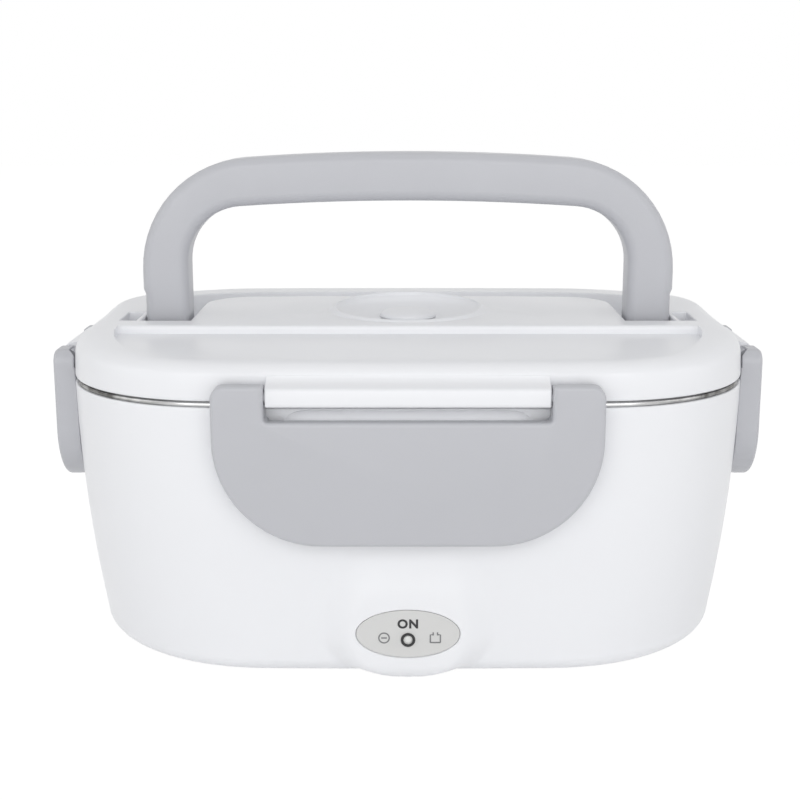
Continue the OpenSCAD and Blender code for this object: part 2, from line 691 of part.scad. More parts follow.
// Ring of the lid: inset by one width round the front and by another round the back
skirt_taper = 0.3;
function lid_ring(inset, back_inset, share) =
    let (front = rim_outline(inset), back = rim_outline(back_inset))
    [for (i = [0:len(front) - 1])
        let (k = smooth(front[i][1] / 30), p = front[i] * (1 - k) + back[i] * k)
        [p[0], p[1], skirt_z + (lid_z(p[1]) - skirt_z) * share]];

function lid_rings() = concat(
    [at_z(rim_outline(0), lid_z0)],
    [for (t = [0, 15, 30, 45, 60, 75, 90])
        lid_ring(skirt_taper + shoulder * (1 - cos(t)), skirt_taper + back_shoulder * (1 - cos(t)), sin(t))],
    [for (inset = [14, 20, 27, 34, 42, 52]) lid_ring(inset, inset, 1)]);

// Handle seen from the front: outer or inner edge, from the leg's foot up to the middle of the grip.
// x is measured from the middle and s from the pivot.
function edge_line(x_leg, r, top, rise, step) =
    let (xc = x_leg - r, big = r + (xc * xc + rise * rise) / (2 * rise), slope = asin(xc / (big - r)),
         sc = top - rise - r)
    concat([[x_leg - step, 0], [x_leg - step, 13.5], [x_leg, 15.5], [x_leg, sc]],
           [for (i = [1:9]) let (t = i * (90 - slope) / 9) [xc + r * cos(t), sc + r * sin(t)]],
           [for (i = [4:-1:0]) let (t = i * slope / 5) [big * sin(t), top - big + big * cos(t)]]);

handle_half = handle_len / 2;
grip_rise = handle_rise - grip_h;
function outer_edge(gap) = edge_line(handle_half + gap, handle_corner + gap, handle_rise + gap, crown, leg_step);
function inner_edge(gap) = edge_line(handle_half - leg_w - gap, grip_corner - gap, grip_rise - gap, crown, 0);

function flipped(points) = [for (i = [len(points) - 1:-1:0]) [-points[i][0], points[i][1]]];
function drop_last(points) = [for (i = [0:len(points) - 2]) points[i]];
function whole_edge(half) = concat(drop_last(half), flipped(half));

// Channel that takes the folded handle, seen from above: y is measured back from the pivot
channel_front = 15;
channel_wall = 1.8;
function channel_outline(grow) =
    let (o = whole_edge(outer_edge(handle_gap + grow)), i = whole_edge(inner_edge(island_gap + grow)),
         front = -channel_front - grow, n = len(i) - 1)
    concat([[o[0][0], front]], o, [[-o[0][0], front]],
           [[-i[0][0], front]], [for (k = [n:-1:0]) i[k]], [[i[0][0], front]]);

ear_t = 1.6;
dimple = [handle_half - leg_step + handle_gap + ear_t, step_half + 2];
dimple_deep = 8;

function recess_outline() =
    let (back = step_y, front = -rim_dep / 2 - 1.5, cx = step_half - recess_corner, cy = front + recess_corner)
    concat([for (i = [0:8]) let (t = -90 * i / 8) [cx + recess_corner * cos(t), cy + recess_corner * sin(t)]],
           [for (i = [8:-1:0]) let (t = -90 * i / 8) [-cx - recess_corner * cos(t), cy + recess_corner * sin(t)]],
           [for (t = [180, 150, 120, 90]) [2 - step_half + 2 * cos(t), back - 2 + 2 * sin(t)]],
           [for (t = [90, 60, 30, 0]) [step_half - 2 + 2 * cos(t), back - 2 + 2 * sin(t)]]);

bowl_z = lid_top - bowl_deep;
vent_tube_r = vent_d / 2 + 1.8;
liner_top = lid_z0 - 1.6;
liner_z = liner_top - liner_t;
channel_floor = lid_z0 - 1.2;
seal_in = [2.9, 7.2];
upstand_in = seal_in[1] + 0.5;
seal_z = steel_top + 0.2;
ledge_z = seal_z + seal_t;
upper_cavity = lid_top - lid_wall - back_fall;
front_cavity = lid_top - recess_deep - lid_wall;

// Crater around the vent: its lip lies in a tilted plane and its bowl is upright
crater_r = crater_d / 2;
bowl_r = crater_r - 5.2;
module crater() translate([0, vent_y, lid_top]) difference() {
    rotate([crater_tilt, 0, 0]) rotate_extrude($fn = 96) polygon([[0, -2.2], [crater_r, -2.2], [crater_r, -0.3],
        [crater_r - 1, 0.4], [crater_r - 2.4, lip_h - 0.4], [crater_r - 3.6, lip_h], [crater_r - 4.8, lip_h - 0.2],
        [bowl_d / 2, lip_h - 0.5], [0, lip_h - 0.5]]);
    bowl();
}
module bowl() rotate_extrude($fn = 96) polygon([[0, -bowl_deep], [bowl_d / 2, -bowl_deep],
    [bowl_d / 2 + 1, -bowl_deep + 0.5], [bowl_r, 1.1], [bowl_r, lip_h + 4], [0, lip_h + 4]]);

// Tab that carries a latch: its section, seen along the latch pins; its top is raised by rise
module tab(half, side, rise = 0) {
    pins = side + pin_out;
    rotate([90, 0, 90]) translate([0, 0, -half]) linear_extrude(2 * half) polygon([
        [-side + 1.6, lid_z0 + 0.5], [-side, lid_z0 + 0.5], [-side - 0.6, latch_z - 3],
        [-pins - 1.2, latch_z - 3], [-pins - 2.1, latch_z - 2.6],
        [-pins - 2.4, latch_z - 1.8], [-pins - 2.4, latch_z + 1.8], [-pins - 2.1, latch_z + 2.6],
        [-pins - 1.2, latch_z + 3 + rise], [-side - 0.8, latch_z + 4.4 + rise], [-side + 0.1, latch_z + 5.2 + rise],
        [-side + 1.6, latch_z + 5.4 + rise]]);
}

latch_bore_r = latch_pin_d / 2 + turn_gap;
stub_bore_r = stub_d / 2 + turn_gap;
island_x = handle_half - leg_w - island_gap;
pin_grip = 4;
side_tab_rise = 1.3;

// Pockets outside the ears that hold the handle's stubs
dimple_y = [-channel_front, 4];
module dimple_box(grow, z0, z1) {
    for (side = [-1, 1]) translate([side * (dimple[0] + dimple[1]) / 2, (dimple_y[0] + dimple_y[1]) / 2, z0])
        linear_extrude(z1 - z0)
            square([dimple[1] - dimple[0] + 2 * grow, dimple_y[1] - dimple_y[0] + 2 * grow], center = true);
}

// Solid of the lid with its recess and its hollows, before the channel is let in
module lid_blank() difference() {
    skin(lid_rings());
    prism(recess_outline(), lid_top - recess_deep, lid_top + 2);
    prism(rim_outline(lid_wall), lid_z0 - 1, ledge_z);
    prism(rim_outline(upstand_in - 0.1), ledge_z - 0.5, ledge_z + 2);
    prism(rim_outline(lid_wall), ledge_z + 1.6, skirt_z + 0.5);
    prism(rim_outline(shoulder), skirt_z, front_cavity);
    intersection() {
        prism(rim_outline(shoulder), front_cavity - 0.5, upper_cavity);
        translate([-rim_len, step_y + 2.5, skirt_z]) cube([2 * rim_len, rim_dep, lid_h]);
    }
}

module lid_shell() color(white) difference() {
    union() {
        lid_blank();
        prism(channel_outline(channel_wall), channel_floor, lid_top - back_fall - 0.4);
        dimple_box(1.5, lid_top - dimple_deep - 1.5, lid_top - 1.2);
        rod_z(liner_top, lid_top - 1.1, 0, vent_y, vent_tube_r);
        rod_z(bowl_z - 2, lid_top - 0.9, 0, vent_y, bowl_d / 2 + 3);
        crater();
        for (turn = [0, 180]) rotate(turn) tab(tab_half, rim_dep / 2);
        for (turn = [90, 270]) rotate(turn) tab(side_tab_half, rim_len / 2, side_tab_rise);
    }
    translate([0, vent_y, lid_top]) bowl();
    rod_z(liner_top - 1, lid_top, 0, vent_y, vent_d / 2);
    prism(channel_outline(0), channel_z, lid_top + 2);
    dimple_box(0, lid_top - dimple_deep, lid_top + 2);
    // bores for the handle's stubs and the latch pins
    for (side = [-1, 1]) {
        rod_x(side * dimple[0] - 3, side * dimple[0] + 3, 0, handle_z, stub_bore_r);
        rod_x(side * island_x - 3, side * island_x + 3, 0, handle_z, stub_bore_r);
    }
    for (turn = [0, 180]) rotate(turn) for (side = [-1, 1])
        rod_x(side * tab_half - pin_grip - 0.5, side * tab_half + pin_grip + 0.5,
              -rim_dep / 2 - pin_out, latch_z, latch_bore_r);
    for (turn = [90, 270]) rotate(turn) for (side = [-1, 1])
        rod_x(side * side_tab_half - pin_grip - 0.5, side * side_tab_half + pin_grip + 0.5,
              -rim_len / 2 - pin_out, latch_z, latch_bore_r);
}

// Inner lid: a plate that reaches into the container, with an upstand for the seal
module lid_liner() color(white) difference() {
    union() {
        prism(rim_outline(upstand_in), liner_z, liner_top);
        difference() {
            prism(rim_outline(upstand_in), liner_z, ledge_z + 1.5);
            prism(rim_outline(upstand_in + liner_t), liner_z - 1, ledge_z + 3);
        }
    }
    rod_z(liner_z - 1, liner_top + 1, 0, vent_y, vent_d / 2);
    // room for the floor of the handle's channel
    prism(channel_outline(channel_wall + fit_gap), liner_top + eps, ledge_z + 3);
}

module lid_seal() color("#e3e3e1") difference() {
    prism(rim_outline(seal_in[0]), seal_z, ledge_z);
    prism(rim_outline(seal_in[1] + 0.2), seal_z - 1, ledge_z + 1);
}

module vent_plug() color(white) {
    translate([0, vent_y, bowl_z + 0.3]) rotate_extrude($fn = 64) polygon(concat([[0, -4]], [[vent_d / 2 - 0.5, -4],
        [vent_d / 2 - 0.3, -2.6], [vent_d / 2 - 0.7, 0], [knob_d / 2 - 0.4, 0], [knob_d / 2, 0.4]],
        [for (i = [0:6]) let (t = i * 15) [knob_d / 2 * cos(t), 0.8 + (knob_h - 0.8) * sin(t)]]));
}

// ---------------------------------------------------------------- carry handle
// Section between an inner and an outer edge point, with its long edges rounded
function handle_section(inner, outer, half_dep, s_drop) =
    let (d = outer - inner, w = norm(d), u = d / w, r = min(handle_edge, half_dep * 0.95))
    [for (q = [[1, 1, 0], [-1, 1, 90], [-1, -1, 180], [1, -1, 270]]) for (i = [0:3])
        let (t = q[2] + i * 30, across = w / 2 + q[0] * (w / 2 - r) + r * cos(t),
             y = q[1] * (half_dep - r) + r * sin(t), p = inner + across * u)
        [p[0], y, handle_z + p[1] - s_drop]];

module carry_handle() color(grey) {
    half_dep = handle_dep / 2;
    inner = whole_edge(inner_edge(0));
    outer = whole_edge(outer_edge(0));
    n = len(inner) - 1;
    foot = [for (t = [80, 60, 40, 20]) t];
    skin(concat(
        [for (t = foot) handle_section(inner[0], outer[0], half_dep * cos(t), half_dep * sin(t))],
        [for (i = [0:n]) handle_section(inner[i], outer[i], half_dep, 0)],
        [for (i = [3:-1:0]) handle_section(inner[n], outer[n], half_dep * cos(foot[i]), half_dep * sin(foot[i]))]));
    for (side = [-1, 1]) {
        outer_from = handle_half - leg_step - 2;
        outer_to = dimple[0];
        inner_from = island_x - 1.6;
        inner_to = handle_half - leg_w + 2;
        rod_x(side > 0 ? outer_from : -outer_to, side > 0 ? outer_to : -outer_from, 0, handle_z, stub_d / 2);
        rod_x(side > 0 ? inner_from : -inner_to, side > 0 ? inner_to : -inner_from, 0, handle_z, stub_d / 2);
    }
}

// ---------------------------------------------------------------- latches
// Half outline of a latch seen from outside, moved inwards by d; z is measured from the pins.
// Each row is a corner x, z, the way to its arc's centre, the arc's radius, its first and last angle,
// and -1 where the outline bends inwards.
function latch_corners(half, slot_half, corner, drop) = [
    [half, -drop, -1, 1, corner, -90, 0, 1],
    [half, latch_up, -1, -1, latch_top_corner, 0, 90, 1],
    [slot_half, latch_up, 1, -1, 1, 90, 180, 1],
    [slot_half, -slot_drop, -1, 1, 1.2, 0, -90, -1]];

function corner_arc(c, d) =
    let (steps = c[4] > 10 ? 8 : 3, r = max(c[4] - c[7] * d, 0.4), in = c[7] > 0 ? d + r : c[4])
    [for (i = [0:steps]) let (t = c[5] + (c[6] - c[5]) * i / steps)
        [c[0] + in * c[2] + r * cos(t), c[1] + in * c[3] + r * sin(t)]];

function latch_outline(half, slot_half, corner, drop, d, rows = [0, 1, 2, 3]) =
    let (c = latch_corners(half, slot_half, corner, drop), h = [for (k = rows) each corner_arc(c[k], d)])
    concat(h, flipped(h));

// The slot between the arms, open at the top
function slot_outline(half, slot_half, corner, drop) =
    let (c = latch_corners(half, slot_half, corner, drop),
         h = concat([[slot_half + 1, latch_up + 1]], corner_arc(c[2], 0), corner_arc(c[3], 0)))
    concat(h, flipped(h));

latch_play = 0.4;
flange_t = 1.9;
back_gap = 0.9;
lift_gap = 0.4;
lip_gap = catch_out + 1.6;
hook_z = catch_z - latch_z - 3.1;

// The arms stay within this radius of the pins on the lid's side, so that they clear the lid as they turn
arm_swing = pin_out - 0.35;
arm_low = sqrt(pow(arm_swing, 2) - pow(pin_out - back_gap, 2));

// Half extent of the tub at height z along one axis, at distance x from the middle of that side
function wall_half(axis, x, z) =
    let (s = tub_size(min(z, tub_top)), r = side_radii(s[0], s[1], s[2])[axis]) s[axis] - r + sqrt(r * r - x * x);

// Latch in front of a long side (axis 1) or, turned, of a short side (axis 0)
module latch(half, slot_half, corner, drop, axis) {
    side = (axis == 0 ? rim_len : rim_dep) / 2;
    pins = side + pin_out;
    face = pins + face_out;
    function layer(d, y) =
        [for (p = latch_outline(half, slot_half, corner, drop, d, [0, 1])) [p[0], -y, latch_z + p[1]]];
    // back edge of the flanges, which follows the wall below the pins but clears the rim as the lid lifts
    function back_layer() = [for (p = layer(0, side))
        let (near = max(wall_half(axis, p[0], p[2]) + back_gap, wall_half(axis, p[0], tub_top) + lift_gap))
        [p[0], p[2] < latch_z ? -near : p[1] - back_gap, p[2]]];
    difference() {
        skin([back_layer(), layer(0, face - 1.6), layer(0.15, face - 0.9), layer(0.7, face - 0.25),
              layer(1.5, face)]);
        // slot over the tab
        translate([0, -side + 1, latch_z]) rotate([90, 0, 0]) linear_extrude(pin_out + face_out + 2)
            polygon(slot_outline(half, slot_half, corner, drop));
        // hollow back
        translate([0, -side + 1, latch_z]) rotate([90, 0, 0]) linear_extrude(pin_out + face_out - latch_t + 1)
            polygon(latch_outline(half, slot_half, corner, drop, flange_t));
        // room for the catch behind the slot's lower lip
        translate([1 - slot_half, -side - lip_gap, latch_z - slot_drop - flange_t - 0.5])
            cube([2 * slot_half - 2, lip_gap + 1, flange_t + 1.5]);
        // the arms are rounded off above the pins
        translate([-half - 1, -pins, latch_z]) rotate([90, 0, 90]) linear_extrude(2 * half + 2) polygon(concat(
            [[pin_out, latch_up + 1], [0, latch_up + 1]],
            [for (t = [90, 70, 50]) arm_swing * [cos(t), sin(t)]],
            [[pin_out - back_gap, arm_low], [pin_out, arm_low]]));
    }
    for (turn = [-1, 1]) {
        arm_from = slot_half + 0.2;
        arm_to = half - 6.5;
        rod_x(turn > 0 ? arm_from : -arm_to, turn > 0 ? arm_to : -arm_from, -pins, latch_z, latch_up - 0.5);
        rod_x(turn > 0 ? slot_half - pin_grip : -arm_from - 2, turn > 0 ? arm_from + 2 : pin_grip - slot_half,
              -pins, latch_z, latch_pin_d / 2);
    }
    // hook that snaps under the tub's catch
    translate([-slot_half + 6, -face + latch_t - 0.5, latch_z + hook_z])
        cube([2 * slot_half - 12, face - latch_t + 0.5 - side - catch_out - 0.5, 2]);
}

module long_latch()
    latch(latch_len / 2, tab_half + latch_play, latch_corner, latch_drop, 1);
module short_latch()
    latch(side_latch_len / 2, side_tab_half + latch_play, side_latch_corner, side_latch_drop, 0);

module latch_front() color(grey) long_latch();
module latch_back() color(grey) rotate(180) long_latch();
module latch_left() color(grey) rotate(-90) short_latch();
module latch_right() color(grey) rotate(90) short_latch();

outer_shell();
bottom_cover();
rubber_feet();
cover_screws();
heating_plate();
plate_gasket();
plate_screws();
mains_heater();
car_heater();
insulating_sheet();
heater_clamp();
clamp_screws();
thermostat();
thermal_fuse();
lamp_board();
indicator_led();
led_bezel();
lamp_panel();
mains_inlet();
mains_pins();
car_socket();
car_socket_pin();
wiring();
splice_caps();
steel_container();
lid_shell();
lid_liner();
lid_seal();
vent_plug();
carry_handle();
latch_front();
latch_back();
latch_left();
latch_right();
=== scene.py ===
# %% [markdown]
# # Electric lunch box
# A white moulded tub that holds heaters, a lift-out steel container, a lid with four fold-up latches
# and a folding carry handle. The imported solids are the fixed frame: they say where each piece sits and
# which body it moves with. The visible skins are drawn again here with rounder edges and finer curves,
# because a moulded part shows its shape through soft highlights along its edges.

# %% Load the fixed frame
import math

import bmesh
import bpy
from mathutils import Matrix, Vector


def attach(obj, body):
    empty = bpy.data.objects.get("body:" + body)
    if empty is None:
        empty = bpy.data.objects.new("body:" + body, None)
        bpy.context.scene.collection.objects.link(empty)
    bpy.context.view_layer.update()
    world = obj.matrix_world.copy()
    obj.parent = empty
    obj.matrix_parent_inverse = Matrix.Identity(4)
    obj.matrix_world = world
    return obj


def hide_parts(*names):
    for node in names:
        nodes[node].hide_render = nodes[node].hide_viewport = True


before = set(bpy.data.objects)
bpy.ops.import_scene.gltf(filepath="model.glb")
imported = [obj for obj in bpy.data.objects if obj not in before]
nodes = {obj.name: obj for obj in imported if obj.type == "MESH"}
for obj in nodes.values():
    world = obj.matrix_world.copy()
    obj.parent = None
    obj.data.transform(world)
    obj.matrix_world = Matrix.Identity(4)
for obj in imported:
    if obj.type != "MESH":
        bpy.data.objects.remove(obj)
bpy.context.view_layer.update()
MM = 0.001
scene = bpy.context.scene
scene.view_settings.view_transform = "Standard"

# %% [markdown]
# The camera comes first. It stands half a metre in front of the box, a little above its lid, and looks
# down by 12.5 degrees, so that the front latch and the top of the lid both show.

# %% Camera
CAMERA_PLACE = (0.0, -0.4874, 0.1822)
CAMERA_PITCH = 12.5
CAMERA_LENS = 62.83
CAMERA_SHIFT = -0.01
camera_data = bpy.data.cameras.new("studio_camera")
camera = bpy.data.objects.new("studio_camera", camera_data)
scene.collection.objects.link(camera)
camera_data.sensor_width = 36.0
camera_data.lens = CAMERA_LENS
camera_data.shift_x = CAMERA_SHIFT
camera_data.clip_start = 0.01
camera.location = CAMERA_PLACE
camera.rotation_euler = (math.radians(90 - CAMERA_PITCH), 0, 0)
scene.camera = camera
print("camera lens", CAMERA_LENS, "mm, pitch", CAMERA_PITCH, "degrees")

# %% [markdown]
# ## Materials
# Every finish is a node tree on the Principled shader. One function turns a hex colour to linear light,
# and one function adds a node with its settings and its links. Patterns read Object coordinates, which
# are metres here, so that a scale can be worked out from a real size in millimetres.

# %% Helpers for materials
def linear(hex_colour):
    """Linear RGBA of an sRGB hex colour."""
    parts = [int(hex_colour[i : i + 2], 16) / 255 for i in (1, 3, 5)]
    return [p / 12.92 if p <= 0.04045 else ((p + 0.055) / 1.055) ** 2.4 for p in parts] + [1.0]


def add(tree, kind, settings, inputs):
    """Adds one node; an input is a number, a colour or another node's output."""
    node = tree.nodes.new(kind)
    for name, value in settings.items():
        setattr(node, name, value)
    for name, value in inputs.items():
        socket = node.inputs[name]
        if isinstance(value, bpy.types.NodeSocket):
            tree.links.new(value, socket)
        else:
            socket.default_value = value
    return node


def per_mm(size):
    """Texture scale of a pattern whose cells are this many millimetres wide."""
    return 1000.0 / size


def new_material(name):
    """An empty material and its node tree."""
    material = bpy.data.materials.new(name)
    material.use_nodes = True
    material.node_tree.nodes.clear()
    return material, material.node_tree


def end_material(tree, shader):
    """Joins a shader to the material's output."""
    output = tree.nodes.new("ShaderNodeOutputMaterial")
    tree.links.new(shader.outputs[0], output.inputs["Surface"])


print("mid grey #808080 is", round(linear("#808080")[0], 3), "in linear light")

# %% [markdown]
# Moulded plastic: the tool's steel prints its surface on the part. A polished tool gives a glossy face
# with a faint long wave from shrinkage; a sparked tool gives a fine grain that breaks up highlights.
# A picture of scratches would do this too, but noise on Object coordinates needs no unwrapping and has
# a real size. The roughness drifts a little over the part, as handled plastic has.

# %% Moulded plastic
WAVE_MM = 34.0


def moulded_plastic(name, colour, roughness, wave, grain_mm, grain, drift=0.04, through=0.0, ior=1.49):
    """Plastic or rubber with a long wave, a fine grain and a drifting roughness."""
    material, tree = new_material(name)
    place = add(tree, "ShaderNodeTexCoord", {}, {}).outputs["Object"]
    slow = add(tree, "ShaderNodeTexNoise", {}, {"Vector": place, "Scale": per_mm(WAVE_MM), "Detail": 2.0})
    fine = add(tree, "ShaderNodeTexNoise", {}, {"Vector": place, "Scale": per_mm(grain_mm), "Detail": 3.0})
    tone = add(tree, "ShaderNodeMixRGB", {"blend_type": "MIX"}, {
        "Fac": slow.outputs["Fac"], "Color1": linear(colour[0]), "Color2": linear(colour[1])})
    gloss = add(tree, "ShaderNodeMapRange", {}, {
        "Value": slow.outputs["Fac"], "From Min": 0.3, "From Max": 0.7,
        "To Min": roughness - drift, "To Max": roughness + drift})
    waves = add(tree, "ShaderNodeBump", {}, {
        "Height": slow.outputs["Fac"], "Strength": wave, "Distance": 0.0004})
    grains = add(tree, "ShaderNodeBump", {}, {
        "Height": fine.outputs["Fac"], "Strength": grain, "Distance": 0.00006,
        "Normal": waves.outputs["Normal"]})
    shader = add(tree, "ShaderNodeBsdfPrincipled", {}, {
        "Base Color": tone.outputs["Color"], "Roughness": gloss.outputs["Result"], "IOR": ior,
        "Normal": grains.outputs["Normal"], "Subsurface Weight": through, "Subsurface Scale": 0.002})
    end_material(tree, shader)
    return material


print("moulded surfaces wave about every", WAVE_MM, "mm")

# %% [markdown]
# The box has two plastics that the hand meets, the white body and the grey handle and latches. Both are
# polypropylene, which bends at a snap without cracking. The small parts have plastics of their own.
# Each colour is a pair of close hex values, so that no surface is one flat tone.

# %% Plastics of the body and the panel
# white polypropylene from a polished tool: a soft broad sheen that shows every edge
white_polypropylene = moulded_plastic(
    "polypropylene_white_polished", ("#eff0f3", "#edeef1"), 0.33, 0.10, 1.2, 0.03)
# grey polypropylene from a satin tool: the same sheen with a faint grain under the fingers
grey_polypropylene = moulded_plastic(
    "polypropylene_grey_satin", ("#bebfc4", "#babbc0"), 0.36, 0.12, 0.7, 0.16)
# matt polycarbonate film: an even grey with hardly a highlight, so that the print reads well
panel_film = moulded_plastic(
    "polycarbonate_film_matt", ("#d5d5d4", "#d1d1d0"), 0.42, 0.06, 0.5, 0.12)
# screen print: a thick, dull ink that stands a little proud of the film
printing_ink = moulded_plastic(
    "screen_printed_ink", ("#2a2a2c", "#303032"), 0.55, 0.02, 0.4, 0.20)
# the same ink in grey, for the two signs
pale_ink = moulded_plastic(
    "screen_printed_ink_grey", ("#747577", "#7b7c7e"), 0.55, 0.02, 0.4, 0.20)
# cast epoxy with a diffuser: milky and glossy, as an unlit lamp is
lamp_resin = moulded_plastic(
    "epoxy_resin_diffused", ("#e4e5e3", "#dddedc"), 0.12, 0.02, 0.8, 0.02, ior=1.55)
print("plastics of the body and the panel made")


# %% Plastics and rubbers of the small parts
# glass-filled polyamide from a sparked tool: black with a fine, grey-looking grain
black_polyamide = moulded_plastic(
    "polyamide_black_sparked", ("#232325", "#1e1e20"), 0.45, 0.05, 0.6, 0.30)
# milky silicone: soft highlights and no sharp grain
clear_silicone = moulded_plastic(
    "silicone_rubber_milky", ("#dcdcda", "#d4d4d2"), 0.48, 0.05, 0.9, 0.10, ior=1.41)
# moulded rubber: nearly no highlight, so the feet stay dark
foot_rubber = moulded_plastic(
    "synthetic_rubber_matt", ("#2c2c2d", "#262627"), 0.72, 0.05, 0.5, 0.45)
# natural nylon: a warm ivory with a waxy sheen
nylon_cap = moulded_plastic(
    "nylon_natural", ("#e2ddce", "#dad4c4"), 0.40, 0.05, 0.8, 0.10)
# red silicone sleeve: the heat-proof cover of the wires inside
wire_sleeve = moulded_plastic(
    "silicone_sleeve_red", ("#a8322a", "#982b24"), 0.50, 0.05, 0.6, 0.10)
# phenolic resin: a brownish black with the hard gloss of a pressed part
bakelite = moulded_plastic(
    "phenolic_resin_black", ("#2a2826", "#211f1e"), 0.34, 0.05, 0.8, 0.12)
print("plastics and rubbers of the small parts made")


# %% [markdown]
# Metals: the container is drawn from stainless sheet and polished round its wall, so its fine scratches
# run with the rim. Aluminium plate is rolled, so its lines run one way. One noise, stretched along the
# lines, makes them all; a second noise of broad smudges drifts the roughness.

# %% Metals
SMUDGE_MM = 18.0


def brushed_metal(name, colour, roughness, stretch, line_mm, depth, aniso):
    """Metal with fine lines, drawn out along the axes where stretch is small."""
    material, tree = new_material(name)
    place = add(tree, "ShaderNodeTexCoord", {}, {}).outputs["Object"]
    run = add(tree, "ShaderNodeMapping", {}, {"Vector": place, "Scale": stretch})
    lines = add(tree, "ShaderNodeTexNoise", {}, {
        "Vector": run.outputs["Vector"], "Scale": per_mm(line_mm), "Detail": 4.0, "Roughness": 0.7})
    smudge = add(tree, "ShaderNodeTexNoise", {}, {
        "Vector": place, "Scale": per_mm(SMUDGE_MM), "Detail": 3.0})
    tone = add(tree, "ShaderNodeMixRGB", {"blend_type": "MIX"}, {
        "Fac": lines.outputs["Fac"], "Color1": linear(colour[0]), "Color2": linear(colour[1])})
    gloss = add(tree, "ShaderNodeMapRange", {}, {
        "Value": smudge.outputs["Fac"], "From Min": 0.3, "From Max": 0.7,
        "To Min": roughness * 0.8, "To Max": roughness * 1.25})
    bump = add(tree, "ShaderNodeBump", {}, {
        "Height": lines.outputs["Fac"], "Strength": depth, "Distance": 0.00005})
    shader = add(tree, "ShaderNodeBsdfPrincipled", {}, {
        "Base Color": tone.outputs["Color"], "Metallic": 1.0, "Roughness": gloss.outputs["Result"],
        "Anisotropic": aniso, "Normal": bump.outputs["Normal"]})
    end_material(tree, shader)
    return material


# polished stainless steel: it mirrors the room softly, drawn out along the wall
polished_steel = brushed_metal(
    "stainless_steel_polished", ("#d2d3d5", "#bfc0c3"), 0.16, (1, 1, 8), 1.4, 0.10, 0.35)
# rolled aluminium: paler and duller, with lines along X
rolled_aluminium = brushed_metal(
    "aluminium_sheet_rolled", ("#cdd0d3", "#bcc0c4"), 0.32, (1, 9, 9), 1.2, 0.25, 0.4)
# zinc plate: a cloudy, even grey on the screws
zinc_plate = brushed_metal(
    "zinc_plated_steel", ("#c9cacc", "#b2b4b8"), 0.26, (1, 1, 1), 0.8, 0.15, 0.0)
# drawn brass: yellow pins with lines along their length
bright_brass = brushed_metal(
    "brass_drawn", ("#d0b266", "#bb9c50"), 0.22, (6, 1, 6), 0.8, 0.12, 0.2)
print("metals made")


# %% [markdown]
# The container's rolled rim is the one line of steel that shows when the box is shut. Its colour is
# bright along the front and painted darker and mottled round the corners, as painted shade that stands
# in for the darker reflection there. The distance from the middle drives that change.

# %% Steel of the rolled rim
SPOT_MM = 3.5


def rim_steel_painted_dark_corners(name, bright, corner_shade, from_mm, to_mm):
    """Polished steel that is bright in the middle and painted darker, as painted shade, from one distance
    along X to another.
    """
    material, tree = new_material(name)
    place = add(tree, "ShaderNodeTexCoord", {}, {}).outputs["Object"]
    split = add(tree, "ShaderNodeSeparateXYZ", {}, {"Vector": place})
    aside = add(tree, "ShaderNodeMath", {"operation": "ABSOLUTE"}, {0: split.outputs["X"]})
    spots = add(tree, "ShaderNodeTexNoise", {}, {"Vector": place, "Scale": per_mm(SPOT_MM), "Detail": 3.0})
    reach = add(tree, "ShaderNodeMapRange", {"interpolation_type": "SMOOTHSTEP"}, {
        "Value": aside.outputs[0], "From Min": from_mm * MM, "From Max": to_mm * MM,
        "To Min": 0.0, "To Max": 1.0})
    patch = add(tree, "ShaderNodeMapRange", {}, {
        "Value": spots.outputs["Fac"], "From Min": 0.35, "From Max": 0.65, "To Min": 0.55, "To Max": 1.0})
    share = add(tree, "ShaderNodeMath", {"operation": "MULTIPLY"}, {
        0: reach.outputs[0], 1: patch.outputs[0]})
    # painted shade: the rim's colour darkens and mottles towards the corners
    tone = add(tree, "ShaderNodeMixRGB", {"blend_type": "MIX"}, {
        "Fac": share.outputs[0], "Color1": linear(bright), "Color2": linear(corner_shade)})
    bump = add(tree, "ShaderNodeBump", {}, {
        "Height": spots.outputs["Fac"], "Strength": 0.1, "Distance": 0.00005})
    shader = add(tree, "ShaderNodeBsdfPrincipled", {}, {
        "Base Color": tone.outputs["Color"], "Metallic": 1.0, "Roughness": 0.18,
        "Normal": bump.outputs["Normal"]})
    end_material(tree, shader)
    return material


# painted shade: the rim is coloured dark round the corners, standing in for a darker reflection there
rim_steel = rim_steel_painted_dark_corners("stainless_steel_rolled_rim", "#cfcfcf", "#454340", 62, 100)
print("rim steel made")


# %% [markdown]
# Two sheets are neither plastic nor metal. Mica is flakes pressed with a resin, and the lamp's board is
# a laminate of glass cloth under green varnish. A Voronoi pattern gives both their small facets.

# %% Mica and laminate
def layered_sheet(name, colours, flake_mm, roughness, bump_strength):
    """Sheet of small facets in two close tones."""
    material, tree = new_material(name)
    place = add(tree, "ShaderNodeTexCoord", {}, {}).outputs["Object"]
    flakes = add(tree, "ShaderNodeTexVoronoi", {}, {"Vector": place, "Scale": per_mm(flake_mm)})
    shade = add(tree, "ShaderNodeTexNoise", {}, {
        "Vector": place, "Scale": per_mm(flake_mm * 4), "Detail": 3.0})
    ramp = add(tree, "ShaderNodeMixRGB", {"blend_type": "MIX"}, {
        "Fac": shade.outputs["Fac"], "Color1": linear(colours[0]), "Color2": linear(colours[1])})
    bump = add(tree, "ShaderNodeBump", {}, {
        "Height": flakes.outputs["Distance"], "Strength": bump_strength, "Distance": 0.0001})
    shader = add(tree, "ShaderNodeBsdfPrincipled", {}, {
        "Base Color": ramp.outputs["Color"], "Roughness": roughness, "Normal": bump.outputs["Normal"]})
    end_material(tree, shader)
    return material


# pressed mica: a straw-coloured sheet whose flakes catch the light one by one
pressed_mica = layered_sheet("mica_pressed", ("#cdbb93", "#b39d70"), 2.5, 0.4, 0.3)
# varnished laminate: glossy green over a fine weave
board_laminate = layered_sheet("laminate_green_varnish", ("#2d6b3a", "#235a30"), 0.8, 0.3, 0.1)
print("mica and laminate made")

